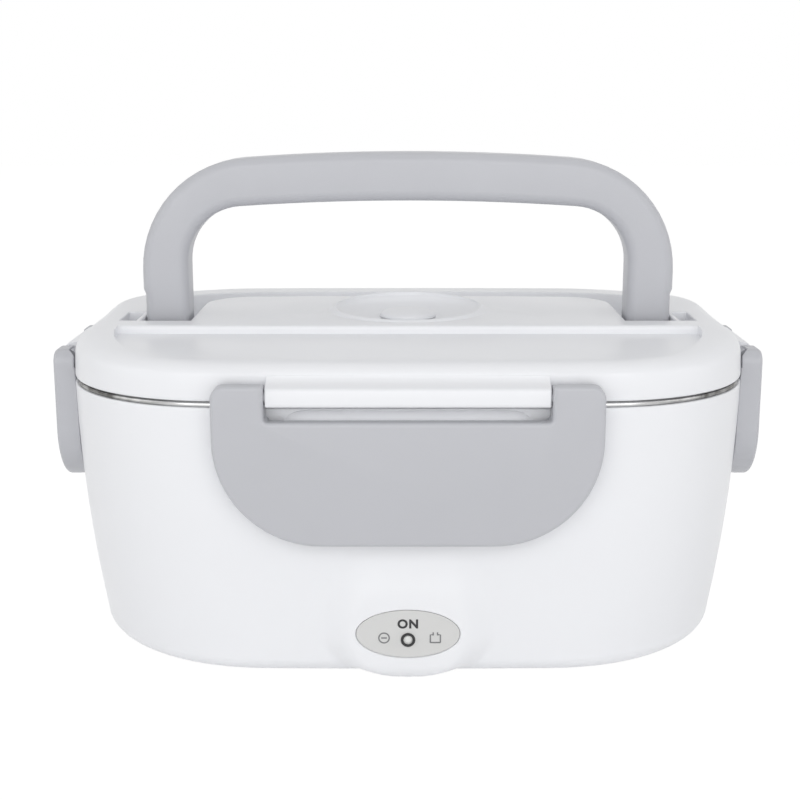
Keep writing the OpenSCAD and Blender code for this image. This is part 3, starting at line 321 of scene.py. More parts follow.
# %% [markdown]
# ## Shapes
# The tub, the lid and the container share one outline: a long oval made of four gentle arcs for the
# sides and four tighter arcs for the corners, all meeting without a kink. Moving it inwards keeps the
# same centres, so each inner ring stays parallel to the outer one. It is worked out from three sizes:
# half its length, half its width and the radius of its corners.

# %% Outline
BOW = math.radians(1.35)


def side_radii(a, b, r):
    """Radii of the side arcs that run into corners of radius r without a kink."""
    c, s = math.cos(BOW), math.sin(BOW)
    k1, k2 = a - r * c + r * s, b - r * c + r * s
    det = (1 - c) ** 2 - s * s
    return (k1 * (1 - c) - s * k2) / det, ((1 - c) * k2 - s * k1) / det


def stations(side, corner, long_side):
    """Angles along a quarter of the outline, with so many steps on each arc."""
    half_pi = math.pi / 2
    return (
        [BOW * i / side for i in range(side)]
        + [BOW + (half_pi - 2 * BOW) * i / corner for i in range(corner)]
        + [half_pi - BOW * (1 - i / long_side) for i in range(long_side + 1)]
    )


def outline(a, b, r, angles):
    """Whole outline, anticlockwise seen from above."""
    rs, rl = side_radii(a, b, r)
    cx, cy = a - rs + (rs - r) * math.cos(BOW), (rs - r) * math.sin(BOW)
    quarter = []
    for t in angles:
        if t <= BOW:
            quarter.append((a - rs + rs * math.cos(t), rs * math.sin(t)))
        elif t >= math.pi / 2 - BOW:
            quarter.append((rl * math.cos(t), b - rl + rl * math.sin(t)))
        else:
            quarter.append((cx + r * math.cos(t), cy + r * math.sin(t)))
    back_left = [(-x, y) for x, y in reversed(quarter[:-1])]
    front_left = [(-x, -y) for x, y in quarter[1:]]
    front_right = [(x, -y) for x, y in reversed(quarter[1:-1])]
    return quarter + back_left + front_left + front_right


print("outline defined, its sides bow by", round(math.degrees(BOW), 2), "degrees")


# %% [markdown]
# A skin over rings of equal length is a closed mesh with neat rows of faces, which is how a lofted
# moulding is best drawn. A part is a pair, its points in millimetres and its faces, until it becomes an
# object, so parts can be joined, turned and moved with a line each.

# %% Skins over rings
def skin(rings, closed=False):
    """Faces over rings: closed joins the last ring to the first, otherwise both ends are capped."""
    n, m = len(rings[0]), len(rings)
    verts = [point for ring in rings for point in ring]
    faces = []
    for k in range(m if closed else m - 1):
        for i in range(n):
            j, up = (i + 1) % n, (k + 1) % m
            faces.append((k * n + i, k * n + j, up * n + j, up * n + i))
    if not closed:
        faces.append(tuple(range(n - 1, -1, -1)))
        faces.append(tuple(range((m - 1) * n, m * n)))
    return verts, faces


def joined(*parts):
    """Several closed meshes as one."""
    verts, faces = [], []
    for v, f in parts:
        base = len(verts)
        verts += list(v)
        faces += [tuple(base + i for i in face) for face in f]
    return verts, faces


def turned(part, quarter_turns):
    """A mesh turned about Z by quarter turns."""
    verts, faces = part
    for _ in range(quarter_turns % 4):
        verts = [(-y, x, z) for x, y, z in verts]
    return verts, faces


def moved(part, dx=0.0, dy=0.0, dz=0.0):
    """A mesh shifted along the axes."""
    verts, faces = part
    return [(x + dx, y + dy, z + dz) for x, y, z in verts], faces


def facing_front(part, y, x=0.0, z=0.0):
    """Turns a mesh's Z to face the front and stands it at depth y."""
    verts, faces = part
    return [(x + px, y - pz, z + py) for px, py, pz in verts], faces


def facing_back(part, y, x=0.0, z=0.0):
    """Turns a mesh's Z to face the back and stands it at depth y."""
    verts, faces = part
    return [(x - px, y + pz, z + py) for px, py, pz in verts], faces


square = [(0, 0), (1, 0), (1, 1), (0, 1)]
cube = skin([[(x, y, z) for x, y in square] for z in (0, 1)])
print("a skin over two square rings has", len(cube[0]), "points and", len(cube[1]), "faces")

# %% Curves and round parts
def smoothstep(t):
    """Soft step from 0 to 1."""
    t = min(max(t, 0.0), 1.0)
    return t * t * (3 - 2 * t)


def arc(start, stop, steps):
    """Angles in radians from one angle in degrees to another."""
    return [math.radians(start + (stop - start) * i / steps) for i in range(steps + 1)]


def around(steps):
    """Cosine and sine of so many even angles round a circle."""
    return [(math.cos(2 * math.pi * i / steps), math.sin(2 * math.pi * i / steps)) for i in range(steps)]


def circle(r, steps=48):
    """Flat circle of points."""
    return [(r * c, r * s) for c, s in around(steps)]


def ellipse_ring(a, b, z, steps=96):
    """Ring of an ellipse at one height."""
    return [(a * c, b * s, z) for c, s in around(steps)]


def rounded_rect(w, h, r, steps=6):
    """Flat rectangle with round corners."""
    points = []
    for sx, sy, start in ((1, 1, 0), (-1, 1, 90), (-1, -1, 180), (1, -1, 270)):
        for t in arc(start, start + 90, steps):
            points.append((sx * (w / 2 - r) + r * math.cos(t), sy * (h / 2 - r) + r * math.sin(t)))
    return points


def bar(points, z0, z1):
    """Upright bar over an outline."""
    return skin([[(x, y, z0) for x, y in points], [(x, y, z1) for x, y in points]])


def rod(r, z0, z1):
    """Round rod along Z."""
    return bar(circle(r), z0, z1)


def rod_x(x0, x1, y, z, r, steps=32):
    """Round rod along X."""
    return skin([[(x, y + r * c, z + r * s) for c, s in around(steps)] for x in (x0, x1)])


def tube(x, y, z0, z1, outer, inner, steps=32):
    """Upright tube."""
    return skin([[(x + r * c, y + r * s, z) for c, s in around(steps)]
                 for r, z in ((outer, z0), (outer, z1), (inner, z1), (inner, z0))], closed=True)


def lathe(profile, steps=64):
    """Solid of revolution about Z from a profile that starts and ends on the axis."""
    verts, faces, rows = [], [], []
    for r, z in profile:
        if r < 1e-6:
            rows.append([len(verts)])
            verts.append((0.0, 0.0, z))
        else:
            rows.append(list(range(len(verts), len(verts) + steps)))
            verts += [(r * c, r * s, z) for c, s in around(steps)]
    for low, high in zip(rows, rows[1:]):
        for i in range(steps):
            j = (i + 1) % steps
            if len(low) == 1:
                faces.append((low[0], high[j], high[i]))
            elif len(high) == 1:
                faces.append((low[i], low[j], high[0]))
            else:
                faces.append((low[i], low[j], high[j], high[i]))
    return verts, faces


def lathe_loop(profile, steps=64):
    """Ring turned about Z from a profile that is closed and clear of the axis."""
    return skin([[(r * c, r * s, z) for c, s in around(steps)] for r, z in profile], closed=True)


print("round parts defined")


# %% [markdown]
# Parts become objects here. Cuts and unions are Boolean modifiers with the exact solver, turned into
# plain mesh one after another. Smooth shading with sharp edges over a set angle gives the look of a
# moulding, where only true edges break the light.

# %% Objects, cuts and unions
def make_object(name, part, material=None, sharp=32):
    """Object at the origin from vertices in millimetres, smooth but for edges over the sharp angle."""
    verts, faces = part
    mesh = bpy.data.meshes.new(name)
    mesh.from_pydata([(x * MM, y * MM, z * MM) for x, y, z in verts], [], faces)
    mesh.shade_smooth()
    mesh.set_sharp_from_angle(angle=math.radians(sharp))
    if material:
        mesh.materials.append(material)
    obj = bpy.data.objects.new(name, mesh)
    scene.collection.objects.link(obj)
    return obj


def settle(obj, sharp=32):
    """Turns the object's modifiers into plain mesh and shades it again."""
    bpy.context.view_layer.update()
    graph = bpy.context.evaluated_depsgraph_get()
    mesh = bpy.data.meshes.new_from_object(obj.evaluated_get(graph))
    obj.modifiers.clear()
    obj.data = mesh
    mesh.shade_smooth()
    mesh.set_sharp_from_angle(angle=math.radians(sharp))
    return obj


def combine(obj, parts, operation):
    """Cuts the parts from the object, or unites them with it."""
    for number, part in enumerate(parts):
        tool = make_object(f"{obj.name}_tool_{number}", part)
        step = obj.modifiers.new("step", "BOOLEAN")
        step.solver = "EXACT"
        step.operation = operation
        step.object = tool
        settle(obj)
        bpy.data.objects.remove(tool)
    return obj


def place(obj, body, slot, *stands_for):
    """Puts a finished piece on its body and hides the solids it stands for."""
    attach(obj, body)
    if stands_for:
        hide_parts(*stands_for)
    print(obj.name, "has", len(obj.data.polygons), "faces")
    return obj


print("object helpers defined")


# %% [markdown]
# ## Tub
# The outer shell is one moulding with a soft bottom edge, a slight belly and two bosses that swell out
# of the wall: one in front for the lamp panel and one behind for the inlets. A boss could be a piece of
# its own, united with the wall, but that leaves a seam. The rings are pushed out where a boss is
# instead, so that it grows from the wall.

# %% Tub sizes
RIM = (111.0, 78.5, 52.4)
LEAN = 4.8
BASE = (RIM[0] - LEAN, RIM[1] - LEAN, RIM[2] + 8.4)
BELLY = 1.3
TUB_TOP = 88.9
GROUND_GAP = 1.2
BASE_ROUND = 6.0
WALL = 2.4
WALL_FOOT = GROUND_GAP + BASE_ROUND
FLOOR_TOP = 24.0
BOSS_REACH = 79.8
PAD_PROUD = 0.3
PANEL_FACE = BOSS_REACH + PAD_PROUD
PANEL_Z = 17.4
INLET_Z = 15.2
LIP_IN = BASE_ROUND + 2
BOSS_FROM = 38.0
LAMP_FLAT = (17.0, 15.5)
LAMP_FADE = 12.0
LAMP_CROWN = 9.0
LAMP_CROWN_FADE = (20.0, 28.6)
INLET_FLAT = (26.0, 27.0)
INLET_FADE = (7.0, 19.0)


def tub_size(z):
    """Half length, half width and corner radius of the tub at a height."""
    u = max((z - WALL_FOOT) / (TUB_TOP - WALL_FOOT), 0.0)
    swell = 4 * BELLY * u * (1 - u)
    return [BASE[0] + (RIM[0] - BASE[0]) * u + swell, BASE[1] + (RIM[1] - BASE[1]) * u + swell,
            BASE[2] + (RIM[2] - BASE[2]) * u]


def wall_half(axis, x, z):
    """Half extent of the tub at height z along an axis, at a distance x from the middle of that side."""
    size = tub_size(min(z, TUB_TOP))
    r = side_radii(*size)[axis]
    return size[axis] - r + math.sqrt(r * r - x * x)


def lamp_share(x, z):
    """How far the lamp boss stands out: an oval flat that fades softly to the sides and upwards."""
    if z < PANEL_Z:
        half = LAMP_FLAT[0] * math.sqrt(max(1 - ((z - PANEL_Z) / LAMP_FLAT[1]) ** 2, 0))
        return 1 - smoothstep((abs(x) - half) / LAMP_FADE)
    t = math.hypot(max(abs(x) - LAMP_CROWN, 0) / LAMP_CROWN_FADE[0], (z - PANEL_Z) / LAMP_CROWN_FADE[1])
    return 1 - smoothstep((t - 0.4) / 0.6)


def inlet_share(x, z):
    """How far the inlet boss stands out: a square flat that fades to the sides and upwards."""
    aside = smoothstep((abs(x) - INLET_FLAT[0]) / INLET_FADE[0])
    above = smoothstep((z - INLET_FLAT[1]) / INLET_FADE[1])
    return (1 - aside) * (1 - above)


def bossed(x, y, z, inset):
    """Point of the wall, pushed out to the flat of the boss that it lies on."""
    reach = (PANEL_FACE if y < 0 else BOSS_REACH) - inset
    if abs(y) >= reach or abs(y) <= BOSS_FROM:
        return (x, y, z)
    share = lamp_share(x, z) if y < 0 else inlet_share(x, z)
    return (x, math.copysign(abs(y) + (reach - abs(y)) * share, y), z)


FINE = stations(4, 26, 56)


def tub_ring(z, inset, plain=False):
    """Ring of the tub at a height, with its bosses unless it is plain."""
    a, b, r = tub_size(z)
    points = outline(a - inset, b - inset, r - inset, FINE)
    return [(x, y, z) if plain else bossed(x, y, z, inset) for x, y in points]


print("tub is", 2 * RIM[0], "by", 2 * RIM[1], "mm at its rim")

# %% Tub wall
foot_rings = [tub_ring(WALL_FOOT - BASE_ROUND * math.cos(t), BASE_ROUND * (1 - math.sin(t)))
              for t in arc(0, 90, 10)]
wall_levels = [8.6 + 1.4 * i for i in range(28)] + [50, 55, 60, 66, 72, 78, 83, 86.5]
wall_rings = [tub_ring(z, 0) for z in wall_levels]
TOP_ROUND = 0.5
top_rings = [tub_ring(TUB_TOP - TOP_ROUND + TOP_ROUND * math.sin(t), TOP_ROUND * (1 - math.cos(t)))
             for t in arc(0, 90, 4)]
inner_levels = [TUB_TOP, 80, 70, 60, 50, 46, 43, 40, 37, 34, 31, 28, 22, 17, 12, WALL_FOOT]
inner_rings = [tub_ring(z, WALL) for z in inner_levels]
inner_foot = BASE_ROUND - WALL
inner_rings += [tub_ring(WALL_FOOT - inner_foot * math.sin(t), WALL + inner_foot * (1 - math.cos(t)))
                for t in arc(30, 90, 2)]
inner_rings += [tub_ring(WALL_FOOT - inner_foot, LIP_IN, plain=True),
                tub_ring(GROUND_GAP, LIP_IN, plain=True)]
shell_part = skin(foot_rings + wall_rings + top_rings + inner_rings, closed=True)
print("tub wall has", len(shell_part[1]), "faces")

# %% [markdown]
# Inside, the tub has a floor with an opening over the heaters, four bosses that take the cover screws,
# and, near the rim, the four catches that the latches snap under. They are plain closed parts that are
# united with the wall, because they meet it at a sharp line on the real moulding too.

# %% Floor, screw bosses and catches
PLAIN = stations(3, 16, 12)
HEATER_OPENING = (58, 34, 8)
COVER_SCREW_AT = (84, 30)
CATCH_Z = 84.8
LONG_CATCH_HALF = 37.4
SHORT_CATCH_HALF = 13.6
fa, fb, fr = (v - WALL / 2 for v in tub_size(FLOOR_TOP))


def level(a, b, r, z, angles=PLAIN):
    """Ring of an oval at one height."""
    return [(x, y, z) for x, y in outline(a, b, r, angles)]


floor_part = skin([level(fa, fb, fr, FLOOR_TOP - 2), level(fa, fb, fr, FLOOR_TOP),
                   level(*HEATER_OPENING, FLOOR_TOP), level(*HEATER_OPENING, FLOOR_TOP - 2)], closed=True)
screw_bosses = [tube(sx * COVER_SCREW_AT[0], sy * COVER_SCREW_AT[1], 5.4, 22.5, 4.2, 1.45)
                for sx in (-1, 1) for sy in (-1, 1)]


def catch(half, side):
    """Rib with a sloped top and tapered ends on the front wall, from x = -half to half."""
    def section(x, size):
        points = [(-1.2, -1.2), (2.3, -1.2), (2.3, 0.9), (2.0, 1.35), (0.35, 3.3), (0.1, 3.6), (-1.2, 3.6)]
        return [(x, -side - py * size if py > 0 else -side - py, CATCH_Z + pz * size) for py, pz in points]

    ends = ((0.0, 0.15), (1.0, 0.45), (2.5, 0.75), (4.5, 0.93), (7.0, 1.0))
    rings = [section(-half + x, size) for x, size in ends]
    rings += [section(half - x, size) for x, size in ends[::-1]]
    return skin([list(reversed(ring)) for ring in rings])


catches = [turned(catch(half, side), turn) for half, side, turn in (
    (LONG_CATCH_HALF, RIM[1], 0), (LONG_CATCH_HALF, RIM[1], 2),
    (SHORT_CATCH_HALF, RIM[0], 1), (SHORT_CATCH_HALF, RIM[0], 3))]
tub_shell = make_object("tub_shell", shell_part, white_polypropylene)
combine(tub_shell, [floor_part, *screw_bosses, *catches], "UNION")
print("tub has", len(catches), "catches and", len(screw_bosses), "screw bosses")

# %% [markdown]
# The lamp panel lies in a shallow oval dish with a soft edge. Behind, two holes take the inlets, in a
# flat pad that stands a little proud of its boss. The cutting tools are drawn flat and then turned to
# face the front or the back.

# %% Dish, inlet holes and pad
MAINS_X = -11.0
CAR_X = 13.0
MAINS_HOLE = (19.36, 12.96, 4)
CAR_HOLE_R = 5.18
PAD_X = 1.0
PAD_SIZE = (48, 18, 5)
inlet_holes = [facing_back(bar(rounded_rect(*MAINS_HOLE), -8, 4), BOSS_REACH, MAINS_X, INLET_Z),
               facing_back(bar(circle(CAR_HOLE_R), -8, 4), BOSS_REACH, CAR_X, INLET_Z)]
dish = skin([ellipse_ring(*sizes) for sizes in (
    (16.25, 7.9, -1.4), (16.25, 7.9, -0.4), (16.35, 8.0, -0.16), (16.6, 8.25, 0.02), (17.1, 8.75, 0.4))])
combine(tub_shell, [*inlet_holes, facing_front(dish, -PANEL_FACE, 0, PANEL_Z)], "DIFFERENCE")

pad_outline = rounded_rect(*PAD_SIZE)
pad_part = skin([[(x, y, -1.5) for x, y in pad_outline], [(x, y, 0.12) for x, y in pad_outline],
                 [(x * 0.993, y * 0.98, PAD_PROUD) for x, y in pad_outline]])
pad = make_object("inlet_pad", facing_back(pad_part, BOSS_REACH, PAD_X, INLET_Z), white_polypropylene)
combine(pad, inlet_holes, "DIFFERENCE")
place(tub_shell, "base", "white_plastic", "outer_shell")
place(pad, "base", "white_plastic")

# %% [markdown]
# ## Steel container
# A drawn steel tray: a floor, a wall that leans out a little, and a level flange at the top. Its inside
# and outside are one skin of rings a sheet's thickness apart, so the sheet has the same gauge all over.

# %% Container tray
BEAD_R = 0.8
STEEL_TOP = TUB_TOP + 2 * BEAD_R
SHEET = 0.6
STEEL_INSET = 5.9
STEEL_Z0 = 27.1
STEEL_ROUND = 12.0
STEEL_LEAN = 4.0
RIM_INSET = 1.2
LOW = STEEL_Z0 + STEEL_ROUND


def rim_ring(inset, z, angles=PLAIN):
    """Ring of the rim's outline, moved inwards."""
    return [(x, y, z) for x, y in outline(RIM[0] - inset, RIM[1] - inset, RIM[2] - inset, angles)]


def steel_inset_at(z):
    """How far the tray's wall lies inside the rim at a height."""
    return STEEL_INSET + STEEL_LEAN * (STEEL_TOP - z) / (STEEL_TOP - STEEL_Z0)


MEDIUM = stations(3, 22, 16)
tray_rings = [rim_ring(steel_inset_at(LOW) + STEEL_ROUND * (1 - math.cos(t)),
                       LOW - STEEL_ROUND * math.sin(t), MEDIUM) for t in arc(90, 0, 8)]
tray_rings += [rim_ring(STEEL_INSET, STEEL_TOP - SHEET - 1.2, MEDIUM)]
tray_rings += [rim_ring(STEEL_INSET - 0.35, STEEL_TOP - SHEET - 0.35, MEDIUM),
               rim_ring(STEEL_INSET - 1.2, STEEL_TOP - SHEET, MEDIUM),
               rim_ring(RIM_INSET, STEEL_TOP - SHEET, MEDIUM), rim_ring(RIM_INSET, STEEL_TOP, MEDIUM),
               rim_ring(STEEL_INSET - 1.2 + SHEET, STEEL_TOP, MEDIUM),
               rim_ring(STEEL_INSET - 0.35 + SHEET * 0.7, STEEL_TOP - 0.35, MEDIUM),
               rim_ring(STEEL_INSET + SHEET, STEEL_TOP - 1.6, MEDIUM)]
tray_rings += [rim_ring(steel_inset_at(LOW) + SHEET + (STEEL_ROUND - SHEET) * (1 - math.cos(t)),
                        LOW - (STEEL_ROUND - SHEET) * math.sin(t), MEDIUM) for t in arc(0, 90, 8)]
steel_tray = make_object("steel_tray", skin(tray_rings), polished_steel)
place(steel_tray, "container", "steel", "steel_container")


# %% [markdown]
# The tray's edge is rolled to a bead, so that it doesn't cut. The bead shows between tub and lid as a
# bright line between two dark ones. It follows the outline all the way round, which is a job for
# Geometry Nodes: a circle is swept along a curve and the result is realised.

# %% Rolled rim in Geometry Nodes
def sweep_tree(name, radius, sides, material):
    """Node tree that sweeps a circle along the object's edges."""
    tree = bpy.data.node_groups.new(name, "GeometryNodeTree")
    tree.interface.new_socket("Geometry", in_out="INPUT", socket_type="NodeSocketGeometry")
    size = tree.interface.new_socket("Radius", in_out="INPUT", socket_type="NodeSocketFloat")
    count = tree.interface.new_socket("Sides", in_out="INPUT", socket_type="NodeSocketInt")
    tree.interface.new_socket("Geometry", in_out="OUTPUT", socket_type="NodeSocketGeometry")
    size.default_value = radius
    count.default_value = sides
    start = tree.nodes.new("NodeGroupInput")
    path = add(tree, "GeometryNodeMeshToCurve", {}, {"Mesh": start.outputs["Geometry"]})
    section = add(tree, "GeometryNodeCurvePrimitiveCircle", {}, {
        "Resolution": start.outputs["Sides"], "Radius": start.outputs["Radius"]})
    swept = add(tree, "GeometryNodeCurveToMesh", {}, {
        "Curve": path.outputs["Curve"], "Profile Curve": section.outputs["Curve"]})
    real = add(tree, "GeometryNodeRealizeInstances", {}, {"Geometry": swept.outputs["Mesh"]})
    painted = add(tree, "GeometryNodeSetMaterial", {}, {
        "Geometry": real.outputs["Geometry"], "Material": material})
    end = tree.nodes.new("NodeGroupOutput")
    tree.links.new(painted.outputs["Geometry"], end.inputs["Geometry"])
    return tree


def grown_along(name, path, tree):
    """Runs a tree on a closed path of points in millimetres and keeps the plain mesh."""
    mesh = bpy.data.meshes.new(name)
    n = len(path)
    points = [(x * MM, y * MM, z * MM) for x, y, z in path]
    mesh.from_pydata(points, [(i, (i + 1) % n) for i in range(n)], [])
    obj = bpy.data.objects.new(name, mesh)
    scene.collection.objects.link(obj)
    obj.modifiers.new("grow", "NODES").node_group = tree
    return settle(obj, sharp=60)


rim_tree = sweep_tree("rolled_rim", BEAD_R * MM, 14, rim_steel)
rolled_rim = grown_along("rolled_rim", rim_ring(RIM_INSET, TUB_TOP + BEAD_R, MEDIUM), rim_tree)
place(rolled_rim, "container", "steel")

# %% [markdown]
# ## Lid
# The lid is a shallow moulding with a rounded shoulder. Its front third falls gently to the latch, and
# a straight step crosses it where a recess starts. Behind the step lies the channel that takes the
# folded handle, then the raised island with the crater around the vent. The blank is a skin of rings;
# the recess, channel and pockets are cut by tools whose upper edge flares out, which leaves a rounded
# edge as a moulding has.

# %% Lid blank
LID_Z0 = 90.8
LID_TOP = 105.4
SKIRT_Z = LID_Z0 + 7.6
SHOULDER = 8.0
BACK_SHOULDER = 5.0
BACK_FALL = 1.2
FRONT_FALL = 3.0
EDGE_ROUND = 0.8
STEP_Y = -26.0
RECESS_DEEP = 2.8
LATCH_Z = LID_Z0 + 2.6
HANDLE_Z = LID_TOP - 5.9
CHANNEL_Z = HANDLE_Z - 8.3
PIN_OUT = 4.3


def lid_height(y):
    """Height of the lid's top: it falls in front of the step and, a little, towards the back."""
    front = FRONT_FALL * smoothstep((STEP_Y - 2 - y) / (RIM[1] + STEP_Y - 4))
    return LID_TOP - front - BACK_FALL * smoothstep((y - RIM[1] / 2) / (RIM[1] * 0.4))


def lid_ring(inset, back_inset, share, angles):
    """Ring of the lid, inset by one width round the front and by another round the back."""
    front = outline(RIM[0] - inset, RIM[1] - inset, RIM[2] - inset, angles)
    back = outline(RIM[0] - back_inset, RIM[1] - back_inset, RIM[2] - back_inset, angles)
    ring = []
    for (fx, fy), (bx, by) in zip(front, back):
        k = smoothstep(fy / 30)
        x, y = fx + (bx - fx) * k, fy + (by - fy) * k
        ring.append((x, y, SKIRT_Z + (lid_height(y) - SKIRT_Z) * share))
    return ring


LID_STATIONS = stations(4, 24, 24)
DRAFT = 0.3
TOP_INSETS = (10, 13, 17, 22, 27, 32, 37, 42, 47, 51)
blank_rings = [rim_ring(EDGE_ROUND * (1 - math.sin(t)), LID_Z0 + EDGE_ROUND * (1 - math.cos(t)),
                        LID_STATIONS) for t in arc(0, 90, 4)]
blank_rings += [lid_ring(DRAFT + SHOULDER * (1 - math.cos(t)), DRAFT + BACK_SHOULDER * (1 - math.cos(t)),
                         math.sin(t), LID_STATIONS) for t in arc(0, 90, 12)]
blank_rings += [lid_ring(inset, inset, 1, LID_STATIONS) for inset in TOP_INSETS]
lid = make_object("lid", skin(blank_rings), white_polypropylene)
print("lid blank has", len(lid.data.polygons), "faces")

# %% [markdown]
# The handle and its channel share their edges, seen from the front: a straight leg with a small step
# above the pivot, a round corner and a grip with a slight crown. Both are worked out by one function,
# so the handle always fits its channel with the same gap.


# %% Handle edges, seen from the front
LEG_LOW, LEG_STEP_END = 13.5, 15.5


def edge_line(x_leg, r, top, rise, step, corner_steps=14, top_steps=6):
    """Points (x, s) from a leg's foot up to the middle of the grip; s is measured from the pivot."""
    xc = x_leg - r
    big = r + (xc * xc + rise * rise) / (2 * rise)
    slope = math.asin(xc / (big - r))
    sc = top - rise - r
    points = [(x_leg - step, 0), (x_leg - step, 6), (x_leg - step, LEG_LOW)]
    points += [(x_leg - step * (1 - smoothstep(k / 3)), LEG_LOW + 2 * k / 3) for k in (1, 2, 3)]
    points += [(x_leg, LEG_STEP_END + (sc - LEG_STEP_END) * 0.5)]
    points += [(xc + r * math.cos(t), sc + r * math.sin(t))
               for t in (i * (math.pi / 2 - slope) / corner_steps for i in range(corner_steps + 1))]
    points += [(big * math.sin(t), top - big + big * math.cos(t))
               for t in (i * slope / (top_steps + 1) for i in range(top_steps, -1, -1))]
    return points


HANDLE_HALF = 91.9
LEG = 15.8
RISE = 62.2
GRIP_RISE = RISE - 16.4
OUTER_BEND, INNER_BEND = 38.5, 19.5
CROWN = 1.9
LEG_STEP = 0.7
CHANNEL_FRONT = -15.0
CHANNEL_GAP_OUT, CHANNEL_GAP_IN = 0.4, 1.5


def outer_edge(gap=0.0):
    """Outer edge of the handle's right half, or of its channel with a gap."""
    return edge_line(HANDLE_HALF + gap, OUTER_BEND + gap, RISE + gap, CROWN, LEG_STEP)


def inner_edge(gap=0.0):
    """Inner edge of the handle's right half, or of its channel with a gap."""
    return edge_line(HANDLE_HALF - LEG - gap, INNER_BEND - gap, GRIP_RISE - gap, CROWN, 0.0)


def mirrored(points):
    """Both halves of a line that ends in the middle."""
    return points[:-1] + [(-x, s) for x, s in reversed(points)]


def channel_outline(grow):
    """Outline of the channel seen from above, grown by a width on every side."""
    front = CHANNEL_FRONT - grow
    outer, inner = mirrored(outer_edge(CHANNEL_GAP_OUT + grow)), mirrored(inner_edge(CHANNEL_GAP_IN + grow))
    outer_end, inner_end = outer[0][0], inner[0][0]
    return ([(outer_end, front)] + outer + [(-outer_end, front), (-inner_end, front)]
            + inner[::-1] + [(inner_end, front)])


print("handle is", 2 * HANDLE_HALF, "mm wide and rises", RISE, "mm over its pivots")


# %% [markdown]
# The recess in front of the step is cut to one level, and the falling top meets it towards the sides,
# so its edge fades out there. A cutter whose upper edge flares out leaves a rounded edge, as a moulding
# has, where a plain cutter would leave a sharp one. The hollows underneath follow the lid's outline at
# a wall's distance.

# %% Flared cutters
def flared(outline_at, z0, top, radius, steps=4):
    """Cutter with walls from z0 up to height top(y), where its edge flares out by a radius."""
    rings = [[(x, y, z0) for x, y in outline_at(0.0)]]
    for t in arc(0, 90, steps):
        grow = radius * (1 - math.cos(t))
        rings.append([(x, y, top(y) - radius + radius * math.sin(t)) for x, y in outline_at(grow)])
    rings.append([(x, y, top(y) + 3) for x, y in outline_at(radius)])
    return skin(rings)


def ccw(points):
    """The same outline, anticlockwise."""
    area = sum(a[0] * b[1] - b[0] * a[1] for a, b in zip(points, points[1:] + points[:1]))
    return points if area > 0 else points[::-1]


def box_part(x0, x1, y0, y1, z0, z1):
    """Plain box between two corners."""
    return bar([(x0, y0), (x1, y0), (x1, y1), (x0, y1)], z0, z1)


print("flared cutters defined")

# %% Recess and hollows
RECESS_HALF = 97.0
RECESS_FRONT = -80.0
RECESS_CORNER = 52.0
STEP_CORNER = 2.0


def recess_outline(grow):
    """Outline of the recess: wide round corners in front and small ones at the step."""
    cx, cy = RECESS_HALF - RECESS_CORNER, RECESS_FRONT + RECESS_CORNER
    step_x, step_y = RECESS_HALF - STEP_CORNER, STEP_Y + grow - STEP_CORNER
    points = []
    for x, y, r, angles in (
        (cx, cy, RECESS_CORNER, arc(0, -90, 16)),
        (-cx, cy, RECESS_CORNER, arc(270, 180, 16)),
        (-step_x, step_y, STEP_CORNER, arc(180, 90, 4)),
        (step_x, step_y, STEP_CORNER, arc(90, 0, 4)),
    ):
        points += [(x + r * math.cos(t), y + r * math.sin(t)) for t in angles]
    return points[::-1]


LID_WALL = 2.4
SEAL_Z = STEEL_TOP + 0.2
LEDGE_Z = SEAL_Z + 2.5
UPSTAND = 7.7
recess_tool = flared(lambda g: ccw(recess_outline(g)), LID_TOP - RECESS_DEEP, lambda y: LID_TOP, 1.2)
under_tools = [
    skin([rim_ring(LID_WALL, LID_Z0 - 2), rim_ring(LID_WALL, LEDGE_Z)]),
    skin([rim_ring(UPSTAND - 0.1, LEDGE_Z - 0.5), rim_ring(UPSTAND - 0.1, LEDGE_Z + 2)]),
    skin([rim_ring(LID_WALL, LEDGE_Z + 1.6), rim_ring(LID_WALL, SKIRT_Z + 0.5)]),
    skin([rim_ring(SHOULDER, SKIRT_Z), rim_ring(SHOULDER, LID_TOP - RECESS_DEEP - LID_WALL)]),
]
combine(lid, [recess_tool, *under_tools], "DIFFERENCE")
print("lid blank hollowed")

# %% [markdown]
# The vent sits in a low dish with a raised lip. Lip and bowl are turned profiles, the lip in a plane
# that leans back by a couple of degrees. The bowl is level under the knob and steepens outwards.

# %% Lip and bowl of the vent
VENT_Y = 8.0
VENT_R = 5.0
CRATER_R = 28.0
LIP_H = 1.8
TILT = math.radians(2.4)
BOWL_FLOOR = -2.3
BOWL_FOOT = 11.5


def tilted(part, angle):
    """A mesh turned about X."""
    verts, faces = part
    c, s = math.cos(angle), math.sin(angle)
    return [(x, y * c - z * s, y * s + z * c) for x, y, z in verts], faces


crater_profile = [(0, -2.2), (CRATER_R + 1.5, -2.2), (CRATER_R + 1.5, -0.25), (CRATER_R + 0.7, 0.1),
                  (CRATER_R, 0.6), (CRATER_R - 0.6, 1.2), (CRATER_R - 1.2, 1.6), (CRATER_R - 1.8, LIP_H),
                  (CRATER_R - 2.4, 1.68), (CRATER_R - 3.0, 1.3), (CRATER_R - 6.0, 0.6),
                  (CRATER_R - 11.0, 0.4), (0, 0.4)]
crater = moved(tilted(lathe(crater_profile, 96), TILT), 0, VENT_Y, LID_TOP)
bowl_profile = [(0, BOWL_FLOOR), (BOWL_FOOT, BOWL_FLOOR), (BOWL_FOOT + 4, -1.9), (BOWL_FOOT + 8, -1.3),
                (BOWL_FOOT + 11, -0.6), (BOWL_FOOT + 12.6, 0.1), (BOWL_FOOT + 13.5, 1.0),
                (BOWL_FOOT + 14.1, 1.7), (BOWL_FOOT + 14.4, 6), (0, 6)]
